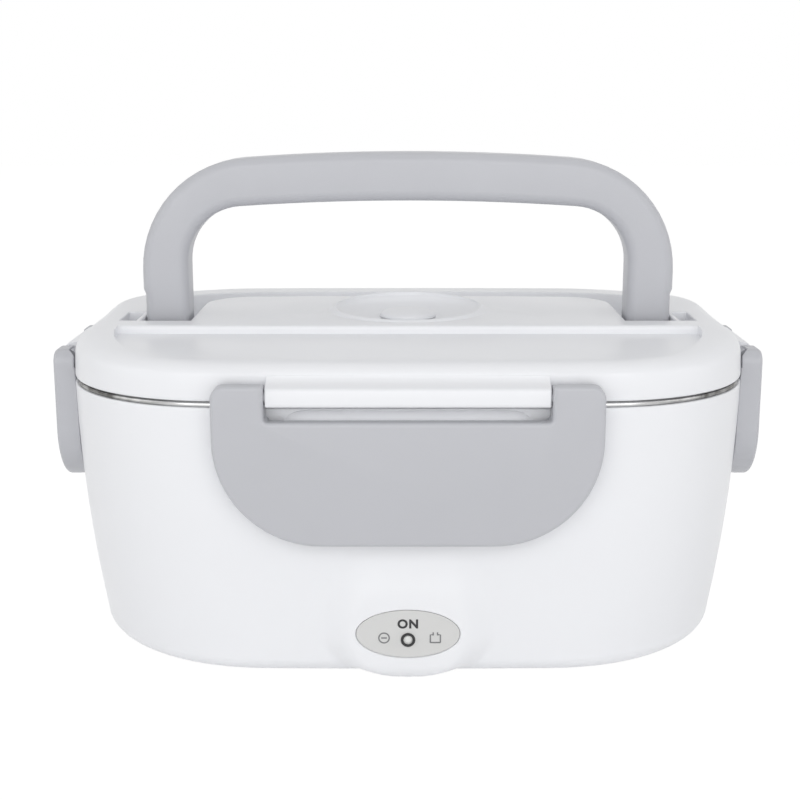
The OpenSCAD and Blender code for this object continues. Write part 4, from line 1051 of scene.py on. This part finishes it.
bowl = moved(lathe(bowl_profile, 96), 0, VENT_Y, LID_TOP)
print("vent lip is", 2 * (CRATER_R - 1.8), "mm across")

# %% [markdown]
# Each latch hangs from a tab on the lid's skirt. A tab is a bar of one section with long edges rounded
# and its ends drawn in a little; the two side tabs are a little higher than the others.

# %% Latch tabs
TAB_HALF = 42.4
SIDE_TAB_HALF = 16.6
SIDE_TAB_RISE = 1.3


def tab_part(half, side, rise=0.0):
    """Tab that carries a latch, in front of the skirt; its top may be raised."""
    u = side + PIN_OUT
    section = [(side - 1.6, -2.1), (side, -2.1), (side + 0.6, -3), (u + 1.2, -3), (u + 1.9, -2.75),
               (u + 2.3, -2.2), (u + 2.4, -1.6), (u + 2.4, 1.6),
               (u + 2.3, 2.2 + rise * 0.3), (u + 1.9, 2.7 + rise * 0.7), (u + 1.2, 3.0 + rise),
               (u - 0.6, 3.35 + rise), (u - 2.4, 3.9 + rise), (u - 3.7, 4.5 + rise),
               (u - 4.2, 5.0 + rise), (u - 4.5, 5.6 + rise), (side - 1.6, 5.6 + rise)]

    def ring(x, size):
        return [(x, -y if y < side else -(side + (y - side) * size), LATCH_Z + z) for y, z in section]

    rings = [ring(-half, 0.93), ring(-half + 0.25, 0.985), ring(-half + 0.6, 1.0),
             ring(half - 0.6, 1.0), ring(half - 0.25, 0.985), ring(half, 0.93)]
    return skin([r[::-1] for r in rings])


tabs = [turned(tab_part(TAB_HALF, RIM[1]), turn) for turn in (0, 2)]
tabs += [turned(tab_part(SIDE_TAB_HALF, RIM[0], SIDE_TAB_RISE), turn) for turn in (1, 3)]
print("lid has", len(tabs), "latch tabs")

# %% [markdown]
# The channel has its own walls and floor inside the hollow lid. They are united with the blank first,
# then the channel, the pockets outside the ears, the bowl of the vent and the pivot bores are cut.

# %% Walls inside the lid
POCKET_X = (93.2, 99.0)
POCKET_Y = (CHANNEL_FRONT, 4.0)
POCKET_DEEP = 8.0
POCKET_WALL = 1.5
CHANNEL_WALL = 1.8


def pocket(side, grow):
    """Outline of the pocket beside a foot of the handle, grown by a width on every side."""
    x0, x1 = sorted((side * (POCKET_X[0] - grow), side * (POCKET_X[1] + grow)))
    y0, y1 = POCKET_Y[0] - grow, POCKET_Y[1] + grow
    return [(x0, y0), (x1, y0), (x1, y1), (x0, y1)]


walls = [bar(ccw(channel_outline(CHANNEL_WALL)), LID_Z0 - 1.2, LID_TOP - BACK_FALL - 0.4)]
walls += [bar(pocket(side, POCKET_WALL), LID_TOP - POCKET_DEEP - POCKET_WALL, LID_TOP - 1.2)
          for side in (-1, 1)]
walls += [moved(rod(6.8, LID_Z0 - 1.6, LID_TOP - 1.1), 0, VENT_Y),
          moved(rod(20, LID_TOP - 3.2, LID_TOP - 0.9), 0, VENT_Y)]
combine(lid, [*walls, crater, *tabs], "UNION")
print("lid blank joined with", len(walls), "inner walls, the vent's lip and", len(tabs), "tabs")

# %% Channel, pockets and bores
HANDLE_BORES = (93.2, 74.6)
HANDLE_BORE_R = 3.08
LATCH_BORE_R = 1.68
LATCH_BORE_HALF = 4.5
cuts = [flared(lambda g: ccw(channel_outline(g)), CHANNEL_Z, lid_height, 0.7), bowl,
        moved(rod(VENT_R, LID_Z0 - 4, LID_TOP + 3), 0, VENT_Y)]
cuts += [flared(lambda g, side=side: pocket(side, g), LID_TOP - POCKET_DEEP, lambda y: LID_TOP, 0.5)
         for side in (-1, 1)]
cuts += [rod_x(side * x - 3, side * x + 3, 0, HANDLE_Z, HANDLE_BORE_R)
         for side in (-1, 1) for x in HANDLE_BORES]
for turn, half, out in ((0, TAB_HALF, RIM[1] + PIN_OUT), (2, TAB_HALF, RIM[1] + PIN_OUT),
                        (1, SIDE_TAB_HALF, RIM[0] + PIN_OUT), (3, SIDE_TAB_HALF, RIM[0] + PIN_OUT)):
    for end in (-half, half):
        bore = rod_x(end - LATCH_BORE_HALF, end + LATCH_BORE_HALF, -out, LATCH_Z, LATCH_BORE_R)
        cuts.append(turned(bore, turn))
combine(lid, cuts, "DIFFERENCE")
settle(lid, sharp=28)
place(lid, "lid", "white_plastic", "lid_shell")

# %% [markdown]
# ## Vent knob
# A round knob with a shallow dome, pressed into the vent hole by its stem. It is turned, so a lathe
# profile with a rolled edge draws it.

# %% Vent knob
KNOB_Z = LID_TOP - 2.0 + 0.3
KNOB_R = 10.0
KNOB_EDGE_Z = 0.3
KNOB_DOME = 2.3
knob_profile = [(0, -4), (4.3, -4), (4.5, -3.8), (4.7, -2.6), (4.3, -1.2), (4.3, -0.5), (9.6, -0.5),
                (9.9, -0.4), (KNOB_R, -0.1), (KNOB_R, KNOB_EDGE_Z)]
knob_profile += [(KNOB_R * math.cos(t), KNOB_EDGE_Z + KNOB_DOME * math.sin(t)) for t in arc(8, 82, 10)]
knob_profile += [(0, KNOB_EDGE_Z + KNOB_DOME)]
vent_knob = make_object("vent_knob", moved(lathe(knob_profile, 80), 0, VENT_Y, KNOB_Z), white_polypropylene)
place(vent_knob, "vent", "white_plastic", "vent_plug")

# %% [markdown]
# ## Carry handle
# A flat arch with soft edges. Its section is a rectangle with round corners that runs from one foot over
# the grip to the other foot, always square to the arch, and closes with a round end below each pivot.

# %% Carry handle
HANDLE_DEP = 16.0
HANDLE_EDGE = 3.6


def handle_section(inner, outer, half_dep, drop):
    """Section of the arch between a point of its inner edge and one of its outer edge."""
    (ix, iz), (ox, oz) = inner, outer
    w = math.hypot(ox - ix, oz - iz)
    ux, uz = (ox - ix) / w, (oz - iz) / w
    r = min(HANDLE_EDGE, half_dep * 0.95)
    ring = []
    for q1, q2, start in ((1, 1, 0), (-1, 1, 90), (-1, -1, 180), (1, -1, 270)):
        for t in arc(start, start + 90, 8):
            across = w / 2 + q1 * (w / 2 - r) + r * math.cos(t)
            ring.append((ix + across * ux, q2 * (half_dep - r) + r * math.sin(t),
                         HANDLE_Z + iz + across * uz - drop))
    return ring


inner_points, outer_points = mirrored(inner_edge()), mirrored(outer_edge())
foot_angles = arc(84, 12, 8)
half = HANDLE_DEP / 2
first, last = (inner_points[0], outer_points[0]), (inner_points[-1], outer_points[-1])
handle_rings = [handle_section(*first, half * math.cos(t), half * math.sin(t)) for t in foot_angles]
handle_rings += [handle_section(i, o, half, 0) for i, o in zip(inner_points, outer_points)]
handle_rings += [handle_section(*last, half * math.cos(t), half * math.sin(t)) for t in foot_angles[::-1]]
STUB_R = 3.0
STUB_SPANS = ((89.2, 93.2), (73.0, 78.1))
stubs = []
for side in (-1, 1):
    for near, far in STUB_SPANS:
        x0, x1 = sorted((side * near, side * far))
        stubs.append(rod_x(x0, x1, 0, HANDLE_Z, STUB_R))
carry_handle = make_object("handle", joined(skin(handle_rings), *stubs), grey_polypropylene, sharp=40)
place(carry_handle, "handle", "grey_plastic", "carry_handle")

# %% [markdown]
# ## Latches
# Each latch is a thin plate with a turned-in edge all round and a slot at the top for the lid's tab. Two
# arms hold the pins. The plate is lofted from one outline that is moved inwards ring by ring, so that
# the front edge is rounded along every side, the slot included.

# %% Latch outline
LATCH_UP = 3.8
SLOT_DROP = 7.2
FACE_OUT = 3.6
LATCH_T = 2.2
FLANGE = 1.9
SWING = PIN_OUT - 0.35
LATCH_EDGE = 1.3
BACK_GAP = 0.9
LIFT_GAP = 0.4
LATCH_PIN_R = 1.6
LATCH_ARM_R = 3.3


def latch_outline(half, slot_half, corner, drop, d):
    """Outline of a plate with its slot, moved inwards by d; z is measured from the pins."""
    corners = [((half, -drop), (-1, 1), corner, -90, 0, 1, 20),
               ((half, LATCH_UP), (-1, -1), 4.3, 0, 90, 1, 10),
               ((slot_half, LATCH_UP), (1, -1), 1.0, 90, 180, 1, 4),
               ((slot_half, -SLOT_DROP), (-1, 1), 1.2, 0, -90, -1, 6)]
    edge_levels = (-12.0, -8.0, -6.0, -2.2, -1.8)
    slot_levels = (1.2, 0.6, 0.0, -3.0)
    right = []
    for number, ((cx, cz), (sx, sz), radius, start, stop, bend, steps) in enumerate(corners):
        r = max(radius - bend * d, 0.3)
        inwards = d + r if bend > 0 else radius
        right += [(cx + inwards * sx + r * math.cos(t), cz + inwards * sz + r * math.sin(t))
                  for t in arc(start, stop, steps)]
        if number == 0:
            right += [(half - d, z) for z in edge_levels]
        if number == 2:
            right += [(slot_half + d, z) for z in slot_levels]
    return right + [(-x, z) for x, z in reversed(right)]


def back_edge(x, z, slot_half, axis):
    """Depth of the back edge: it follows the wall under the pins and clears the turning lid above them."""
    side = RIM[axis]
    if abs(x) < slot_half - 1:
        return side + 3.7
    if z > 0:
        return side + max(BACK_GAP, PIN_OUT - math.sqrt(max(SWING ** 2 - z ** 2, 0)))
    if z > -2:
        return side + BACK_GAP
    beside_wall = wall_half(axis, x, LATCH_Z + z) + BACK_GAP - 0.3 * smoothstep((-z - 5) / 4)
    return max(beside_wall, wall_half(axis, x, TUB_TOP) + LIFT_GAP)


print("latch outline defined")

# %% [markdown]
# The back edge of a latch follows the belly of the tub at a small gap. It never comes nearer than the
# tub's rim is wide, or it would catch there when the lid is lifted with the latches shut.

# %% Latch plate
def latch_part(half, slot_half, corner, drop, axis):
    """Plate of a latch on the front of an oval, with its two arms, their pins and the hook behind."""
    side = RIM[axis]
    face = side + PIN_OUT + FACE_OUT

    def layer(d, depth):
        return [(x, -depth, LATCH_Z + z) for x, z in latch_outline(half, slot_half, corner, drop, d)]

    def back_layer(d, lift=0.0):
        flat = latch_outline(half, slot_half, corner, drop, 0.0)
        return [(x, -back_edge(fx, fz, slot_half, axis) - lift, LATCH_Z + z)
                for (x, z), (fx, fz) in zip(latch_outline(half, slot_half, corner, drop, d), flat)]

    rings = [layer(FLANGE + 0.25, face - LATCH_T), back_layer(FLANGE, 0.15), back_layer(FLANGE - 0.2),
             back_layer(0.25), back_layer(0.0, 0.25)]
    rings += [layer(LATCH_EDGE * (1 - math.cos(t)), face - LATCH_EDGE + LATCH_EDGE * math.sin(t))
              for t in arc(0, 90, 7)]
    plate = skin(rings)
    extras = []
    arm_span = (slot_half + 0.2, half - 6.5, LATCH_ARM_R)
    pin_span = (slot_half - 4, slot_half + 2, LATCH_PIN_R)
    for end in (-1, 1):
        for near, far, r in (arm_span, pin_span):
            x0, x1 = sorted((end * near, end * far))
            extras.append(rod_x(x0, x1, -side - PIN_OUT, LATCH_Z, r))
    extras.append(box_part(-slot_half + 6, slot_half - 6, -face + LATCH_T - 0.5, -side - 2.6,
                           LATCH_Z - 12.9, LATCH_Z - 10.9))
    return joined(plate, *extras)


print("latch plate defined,", LATCH_T, "mm thick")

# %% Four latches
PLAY = 0.4
LONG = (58.6, TAB_HALF + PLAY, 32.5, 45.7, 1)
SHORT = (28.75, SIDE_TAB_HALF + PLAY, 20.0, 43.0, 0)
for name, body, turn, sizes in (
    ("front_latch_plate", "front_latch", 0, LONG),
    ("back_latch_plate", "back_latch", 2, LONG),
    ("left_latch_plate", "left_latch", 3, SHORT),
    ("right_latch_plate", "right_latch", 1, SHORT),
):
    plate = make_object(name, turned(latch_part(*sizes), turn), grey_polypropylene, sharp=35)
    place(plate, body, "grey_plastic", "latch_" + body.split("_")[0])

# %% [markdown]
# ## Lamp panel
# An oval film lies in the lip of the boss. It carries one word and two small signs in black ink, and the
# lamp comes through it in a black ring. The print is real geometry, a few hundredths of a millimetre
# proud, so that it stays with the part in every view.

# %% Panel film, lamp and ring
FILM_Y = -PANEL_FACE + 0.3
film_rings = [ellipse_ring(16.1, 7.75, -1.0), ellipse_ring(16.1, 7.75, -0.1), ellipse_ring(16.0, 7.65, 0.0),
              ellipse_ring(9, 4.4, 0.02)]
film = make_object("panel_film", facing_front(skin(film_rings), FILM_Y, 0, PANEL_Z), panel_film)
place(film, "base", "panel_plastic", "lamp_panel")

LED_Z = 15.5
ring_profile = [(1.55, -1.2), (2.2, -1.2), (2.25, 0.3), (2.19, 0.5), (2.05, 0.66), (1.86, 0.7), (1.65, 0.6),
                (1.5, 0.42), (1.42, 0.2), (1.55, 0.1)]
ring_part = facing_front(lathe_loop(ring_profile), FILM_Y, 0, LED_Z)
lamp_ring = make_object("lamp_ring", ring_part, black_polyamide)
place(lamp_ring, "base", "black_plastic", "led_bezel")
lamp_profile = [(0, -8.3), (2.0, -8.3), (2.0, -7.2), (1.5, -7.2), (1.5, -0.4)]
lamp_profile += [(1.5 * math.cos(t), -0.4 + 0.8 * math.sin(t)) for t in arc(15, 75, 5)] + [(0, 0.4)]
lamp = make_object("lamp_lens", facing_front(lathe(lamp_profile, 40), FILM_Y, 0, LED_Z), lamp_resin)
place(lamp, "base", "lamp_lens", "indicator_led")


# %% [markdown]
# The signs are strokes of one width: a ring with a bar for the mains lead and a plain plug outline for
# the car lead. A stroke is a thin closed solid along a few points, so the print needs no texture.

# %% Signs
LINE = 0.42
INK_PROUD = 0.06
INK_DEEP = -0.05
INK_Y = FILM_Y - 0.03
SIGN_Z = 16.1
MAINS_SIGN_X, CAR_SIGN_X = -7.45, 8.5


def stroke(points, width, closed=False):
    """Flat line of a given width along points, as a closed thin solid."""
    n = len(points)
    left, right = [], []
    for i, (x, y) in enumerate(points):
        ax, ay = points[i - 1] if i or closed else points[0]
        bx, by = points[(i + 1) % n] if i < n - 1 or closed else points[-1]
        length = math.hypot(bx - ax, by - ay)
        nx, ny = -(by - ay) / length * width / 2, (bx - ax) / length * width / 2
        left.append((x + nx, y + ny))
        right.append((x - nx, y - ny))
    rings = []
    for (lx, ly), (rx, ry) in zip(left, right):
        rings.append([(lx, ly, INK_PROUD), (rx, ry, INK_PROUD), (rx, ry, INK_DEEP), (lx, ly, INK_DEEP)])
    return skin(rings, closed=closed)


on_circle = stroke(circle(1.62, 28), LINE, closed=True)
on_bar = stroke([(-0.9, 0.0), (0.9, 0.0)], LINE)
plug_box = stroke([(-1.56, -1.5), (-1.56, 1.05), (-0.85, 1.05)], LINE)
plug_other = stroke([(0.85, 1.05), (1.56, 1.05), (1.56, -1.5)], LINE)
plug_pins = [stroke([(x, 0.85), (x, 1.85)], LINE) for x in (-0.66, 0.66)]
plug_base = stroke([(-1.56, -1.5), (1.56, -1.5)], LINE)
signs = make_object("panel_signs", joined(
    *[facing_front(p, INK_Y, MAINS_SIGN_X, SIGN_Z) for p in (on_circle, on_bar)],
    *[facing_front(p, INK_Y, CAR_SIGN_X, SIGN_Z) for p in (plug_box, plug_other, plug_base, *plug_pins)]),
    pale_ink)
place(signs, "base", "black_plastic")

# %% [markdown]
# The word comes from Blender's own font. It is turned into plain mesh and its points are laid on the
# film, because a text object's own turn would be lost in an export.

# %% Word
WORD_SIZE = 3.9
WORD_Z = 19.4
word_curve = bpy.data.curves.new("panel_word", "FONT")
word_curve.body = "ON"
word_curve.size = WORD_SIZE * MM
word_curve.extrude = 0.05 * MM
word_curve.offset = 0.16 * MM
word_curve.align_x = "CENTER"
word_curve.space_character = 1.15
word_source = bpy.data.objects.new("panel_word_source", word_curve)
scene.collection.objects.link(word_source)
bpy.context.view_layer.update()
graph = bpy.context.evaluated_depsgraph_get()
word_mesh = bpy.data.meshes.new_from_object(word_source.evaluated_get(graph))
bpy.data.objects.remove(word_source)
for vertex in word_mesh.vertices:
    x, y, z = vertex.co
    vertex.co = (x, INK_Y * MM - z, WORD_Z * MM + y)
word_mesh.materials.clear()
word_mesh.materials.append(printing_ink)
word = bpy.data.objects.new("panel_word", word_mesh)
scene.collection.objects.link(word)
place(word, "base", "black_plastic")

# %% [markdown]
# ## Hidden pieces
# The inner lid, the seal, the heaters and the base show only when the box is opened or turned over.
# Their solids have the right shape, so each one is copied, its loose triangles are merged, and it is
# shaded smooth up to a sharp edge.

# %% Dress the remaining solids
def dress(node, body, slot, material, sharp=30):
    """A merged and smoothed copy of a solid, in its place."""
    mesh = nodes[node].data.copy()
    work = bmesh.new()
    work.from_mesh(mesh)
    bmesh.ops.remove_doubles(work, verts=work.verts, dist=1e-6)
    bmesh.ops.dissolve_limit(work, angle_limit=math.radians(0.5), verts=work.verts, edges=work.edges)
    work.to_mesh(mesh)
    work.free()
    mesh.materials.clear()
    mesh.materials.append(material)
    mesh.shade_smooth()
    mesh.set_sharp_from_angle(angle=math.radians(sharp))
    obj = bpy.data.objects.new(node + "_piece", mesh)
    scene.collection.objects.link(obj)
    return place(obj, body, slot, node)


for node, slot, material in (
    ("bottom_cover", "white_plastic", white_polypropylene),
    ("heating_plate", "aluminium", rolled_aluminium),
    ("plate_gasket", "silicone", clear_silicone),
    ("plate_screws", "screw_steel", zinc_plate),
    ("mains_heater", "aluminium", rolled_aluminium),
    ("car_heater", "aluminium", rolled_aluminium),
    ("insulating_sheet", "mica", pressed_mica),
    ("heater_clamp", "steel", polished_steel),
    ("clamp_screws", "screw_steel", zinc_plate),
    ("thermostat", "black_plastic", bakelite),
    ("thermal_fuse", "brass", bright_brass),
    ("lamp_board", "circuit_board", board_laminate),
    ("mains_inlet", "black_plastic", black_polyamide),
    ("mains_pins", "brass", bright_brass),
    ("car_socket", "black_plastic", black_polyamide),
    ("car_socket_pin", "brass", bright_brass),
    ("wiring", "wire_sleeve", wire_sleeve),
    ("splice_caps", "cap_plastic", nylon_cap),
):
    dress(node, "base", slot, material)

# %% Inner lid and seal
dress("lid_liner", "lid", "white_plastic", white_polypropylene)
dress("lid_seal", "lid", "silicone", clear_silicone)

# %% [markdown]
# Feet and cover screws repeat at four corners each. One node tree sets a source piece on the points of a
# small grid, realises the copies and paints them, so a change to one piece changes all four.

# %% Copies at four corners in Geometry Nodes
def corners_tree(name, source, half_x, half_y, material):
    """Node tree that sets an object on the four corners of a rectangle."""
    tree = bpy.data.node_groups.new(name, "GeometryNodeTree")
    for label, value in (("Half X", half_x * MM), ("Half Y", half_y * MM)):
        size = tree.interface.new_socket(label, in_out="INPUT", socket_type="NodeSocketFloat")
        size.default_value = value
    tree.interface.new_socket("Geometry", in_out="OUTPUT", socket_type="NodeSocketGeometry")
    start = tree.nodes.new("NodeGroupInput")
    wide = add(tree, "ShaderNodeMath", {"operation": "MULTIPLY"}, {0: start.outputs["Half X"], 1: 2.0})
    deep = add(tree, "ShaderNodeMath", {"operation": "MULTIPLY"}, {0: start.outputs["Half Y"], 1: 2.0})
    grid = add(tree, "GeometryNodeMeshGrid", {}, {
        "Size X": wide.outputs[0], "Size Y": deep.outputs[0], "Vertices X": 2, "Vertices Y": 2})
    piece = add(tree, "GeometryNodeObjectInfo", {}, {"Object": source, "As Instance": True})
    copies = add(tree, "GeometryNodeInstanceOnPoints", {}, {
        "Points": grid.outputs["Mesh"], "Instance": piece.outputs["Geometry"]})
    real = add(tree, "GeometryNodeRealizeInstances", {}, {"Geometry": copies.outputs["Instances"]})
    painted = add(tree, "GeometryNodeSetMaterial", {}, {
        "Geometry": real.outputs["Geometry"], "Material": material})
    end = tree.nodes.new("NodeGroupOutput")
    tree.links.new(painted.outputs["Geometry"], end.inputs["Geometry"])
    return tree


def at_four_corners(name, source_part, half_x, half_y, material, sharp=30):
    """One piece at the four corners of a rectangle, as plain mesh."""
    source = make_object(name + "_source", source_part, material, sharp)
    holder = bpy.data.objects.new(name, bpy.data.meshes.new(name))
    scene.collection.objects.link(holder)
    tree = corners_tree(name, source, half_x, half_y, material)
    holder.modifiers.new("corners", "NODES").node_group = tree
    settle(holder, sharp)
    bpy.data.objects.remove(source)
    return holder


print("corner copies defined")

# %% Feet
FOOT_AT = (64, 44)
foot_profile = [(0, 0.25), (4.6, 0.25), (4.9, 0.05), (5.2, 0.0), (6.3, 0.0), (6.75, 0.15), (7.0, 0.6),
                (7.0, 2.7), (0, 2.7)]
feet = at_four_corners("feet", lathe(foot_profile, 48), *FOOT_AT, foot_rubber)
place(feet, "base", "foot_rubber", "rubber_feet")

# %% Cover screws
screw_profile = [(0, 2.95), (0.8, 2.95), (1.0, 2.2), (2.2, 2.25), (2.6, 2.5), (2.8, 3.0), (2.8, 3.8),
                 (1.4, 3.8), (1.4, 11.8), (0.9, 12.2), (0, 12.2)]
screws = at_four_corners("cover_screw_set", lathe(screw_profile, 32), *COVER_SCREW_AT, zinc_plate)
place(screws, "base", "screw_steel", "cover_screws")

# %% [markdown]
# ## Studio
# A white product stands in a white sweep. The camera sees pure white around it, while the light that
# reaches the plastic is kept lower, so that the white faces still show their shape. The Light Path node
# makes that difference, for the camera, for mirror reflections and for light through glass.

# %% Floor
FLOOR_HALF = 3000
FLOOR_GLOW = 1.09
SHADOW_SHARE = 0.12


def backdrop_material(name, colour, seen, shadow):
    """Matt floor that the camera sees as white, with a share of its true shading laid over it."""
    material, tree = new_material(name)
    rays = add(tree, "ShaderNodeLightPath", {}, {})
    glow = add(tree, "ShaderNodeEmission", {}, {"Color": linear("#ffffff"), "Strength": seen})
    matt = add(tree, "ShaderNodeBsdfDiffuse", {}, {"Color": linear(colour)})
    both = add(tree, "ShaderNodeMath", {"operation": "MAXIMUM"}, {
        0: rays.outputs["Is Camera Ray"], 1: rays.outputs["Is Transmission Ray"]})
    direct = add(tree, "ShaderNodeMath", {"operation": "MAXIMUM"}, {
        0: both.outputs[0], 1: rays.outputs["Is Glossy Ray"]})
    lit = add(tree, "ShaderNodeMixShader", {}, {0: shadow, 1: glow.outputs[0], 2: matt.outputs[0]})
    mixed = add(tree, "ShaderNodeMixShader", {}, {
        0: direct.outputs[0], 1: matt.outputs[0], 2: lit.outputs[0]})
    end_material(tree, mixed)
    return material


floor_points = [(sx * FLOOR_HALF, sy * FLOOR_HALF, 0) for sx, sy in ((-1, -1), (1, -1), (1, 1), (-1, 1))]
floor = make_object("floor", (floor_points, [(0, 1, 2, 3)]),
                    backdrop_material("studio_floor", "#f4f4f4", FLOOR_GLOW, SHADOW_SHARE))
print("floor laid")

# %% World
AMBIENT = 0.42
world = bpy.data.worlds.new("studio_world")
scene.world = world
world.use_nodes = True
sky = world.node_tree
sky.nodes.clear()
rays = add(sky, "ShaderNodeLightPath", {}, {})
ambient = add(sky, "ShaderNodeBackground", {}, {"Color": linear("#ffffff"), "Strength": AMBIENT})
seen = add(sky, "ShaderNodeBackground", {}, {"Color": linear("#ffffff"), "Strength": 1.0})
clear_rays = add(sky, "ShaderNodeMath", {"operation": "MAXIMUM"}, {
    0: rays.outputs["Is Camera Ray"], 1: rays.outputs["Is Transmission Ray"]})
view_rays = add(sky, "ShaderNodeMath", {"operation": "MAXIMUM"}, {
    0: clear_rays.outputs[0], 1: rays.outputs["Is Glossy Ray"]})
mixed = add(sky, "ShaderNodeMixShader", {}, {
    0: view_rays.outputs[0], 1: ambient.outputs[0], 2: seen.outputs[0]})
sky_out = sky.nodes.new("ShaderNodeOutputWorld")
sky.links.new(mixed.outputs[0], sky_out.inputs["Surface"])
print("ambient strength", AMBIENT)

# %% [markdown]
# Four soft boxes light the box as a product is lit: a broad one in front, low enough to fill the faces
# under the rim, a weak one above for the lid, and one on each side for the ends.

# %% Lamps
def soft_box(name, place_m, aim_m, size, watts):
    """Rectangular area lamp that faces a point; places are in metres."""
    data = bpy.data.lights.new(name, "AREA")
    data.shape = "RECTANGLE"
    data.size, data.size_y = size
    data.energy = watts
    lamp_obj = bpy.data.objects.new(name, data)
    scene.collection.objects.link(lamp_obj)
    lamp_obj.location = place_m
    lamp_obj.rotation_euler = (Vector(aim_m) - Vector(place_m)).to_track_quat("-Z", "Y").to_euler()
    return lamp_obj


soft_box("top_box", (0.0, 0.15, 0.95), (0, 0, 0.05), (1.3, 0.9), 1.4)
soft_box("front_box", (0.0, -1.15, 0.36), (0, 0, 0.05), (1.6, 1.1), 9.0)
soft_box("left_box", (-0.95, -0.3, 0.35), (0, 0, 0.06), (0.5, 0.9), 1.2)
soft_box("right_box", (0.95, -0.3, 0.35), (0, 0, 0.06), (0.5, 0.9), 1.2)
print("lamps placed")
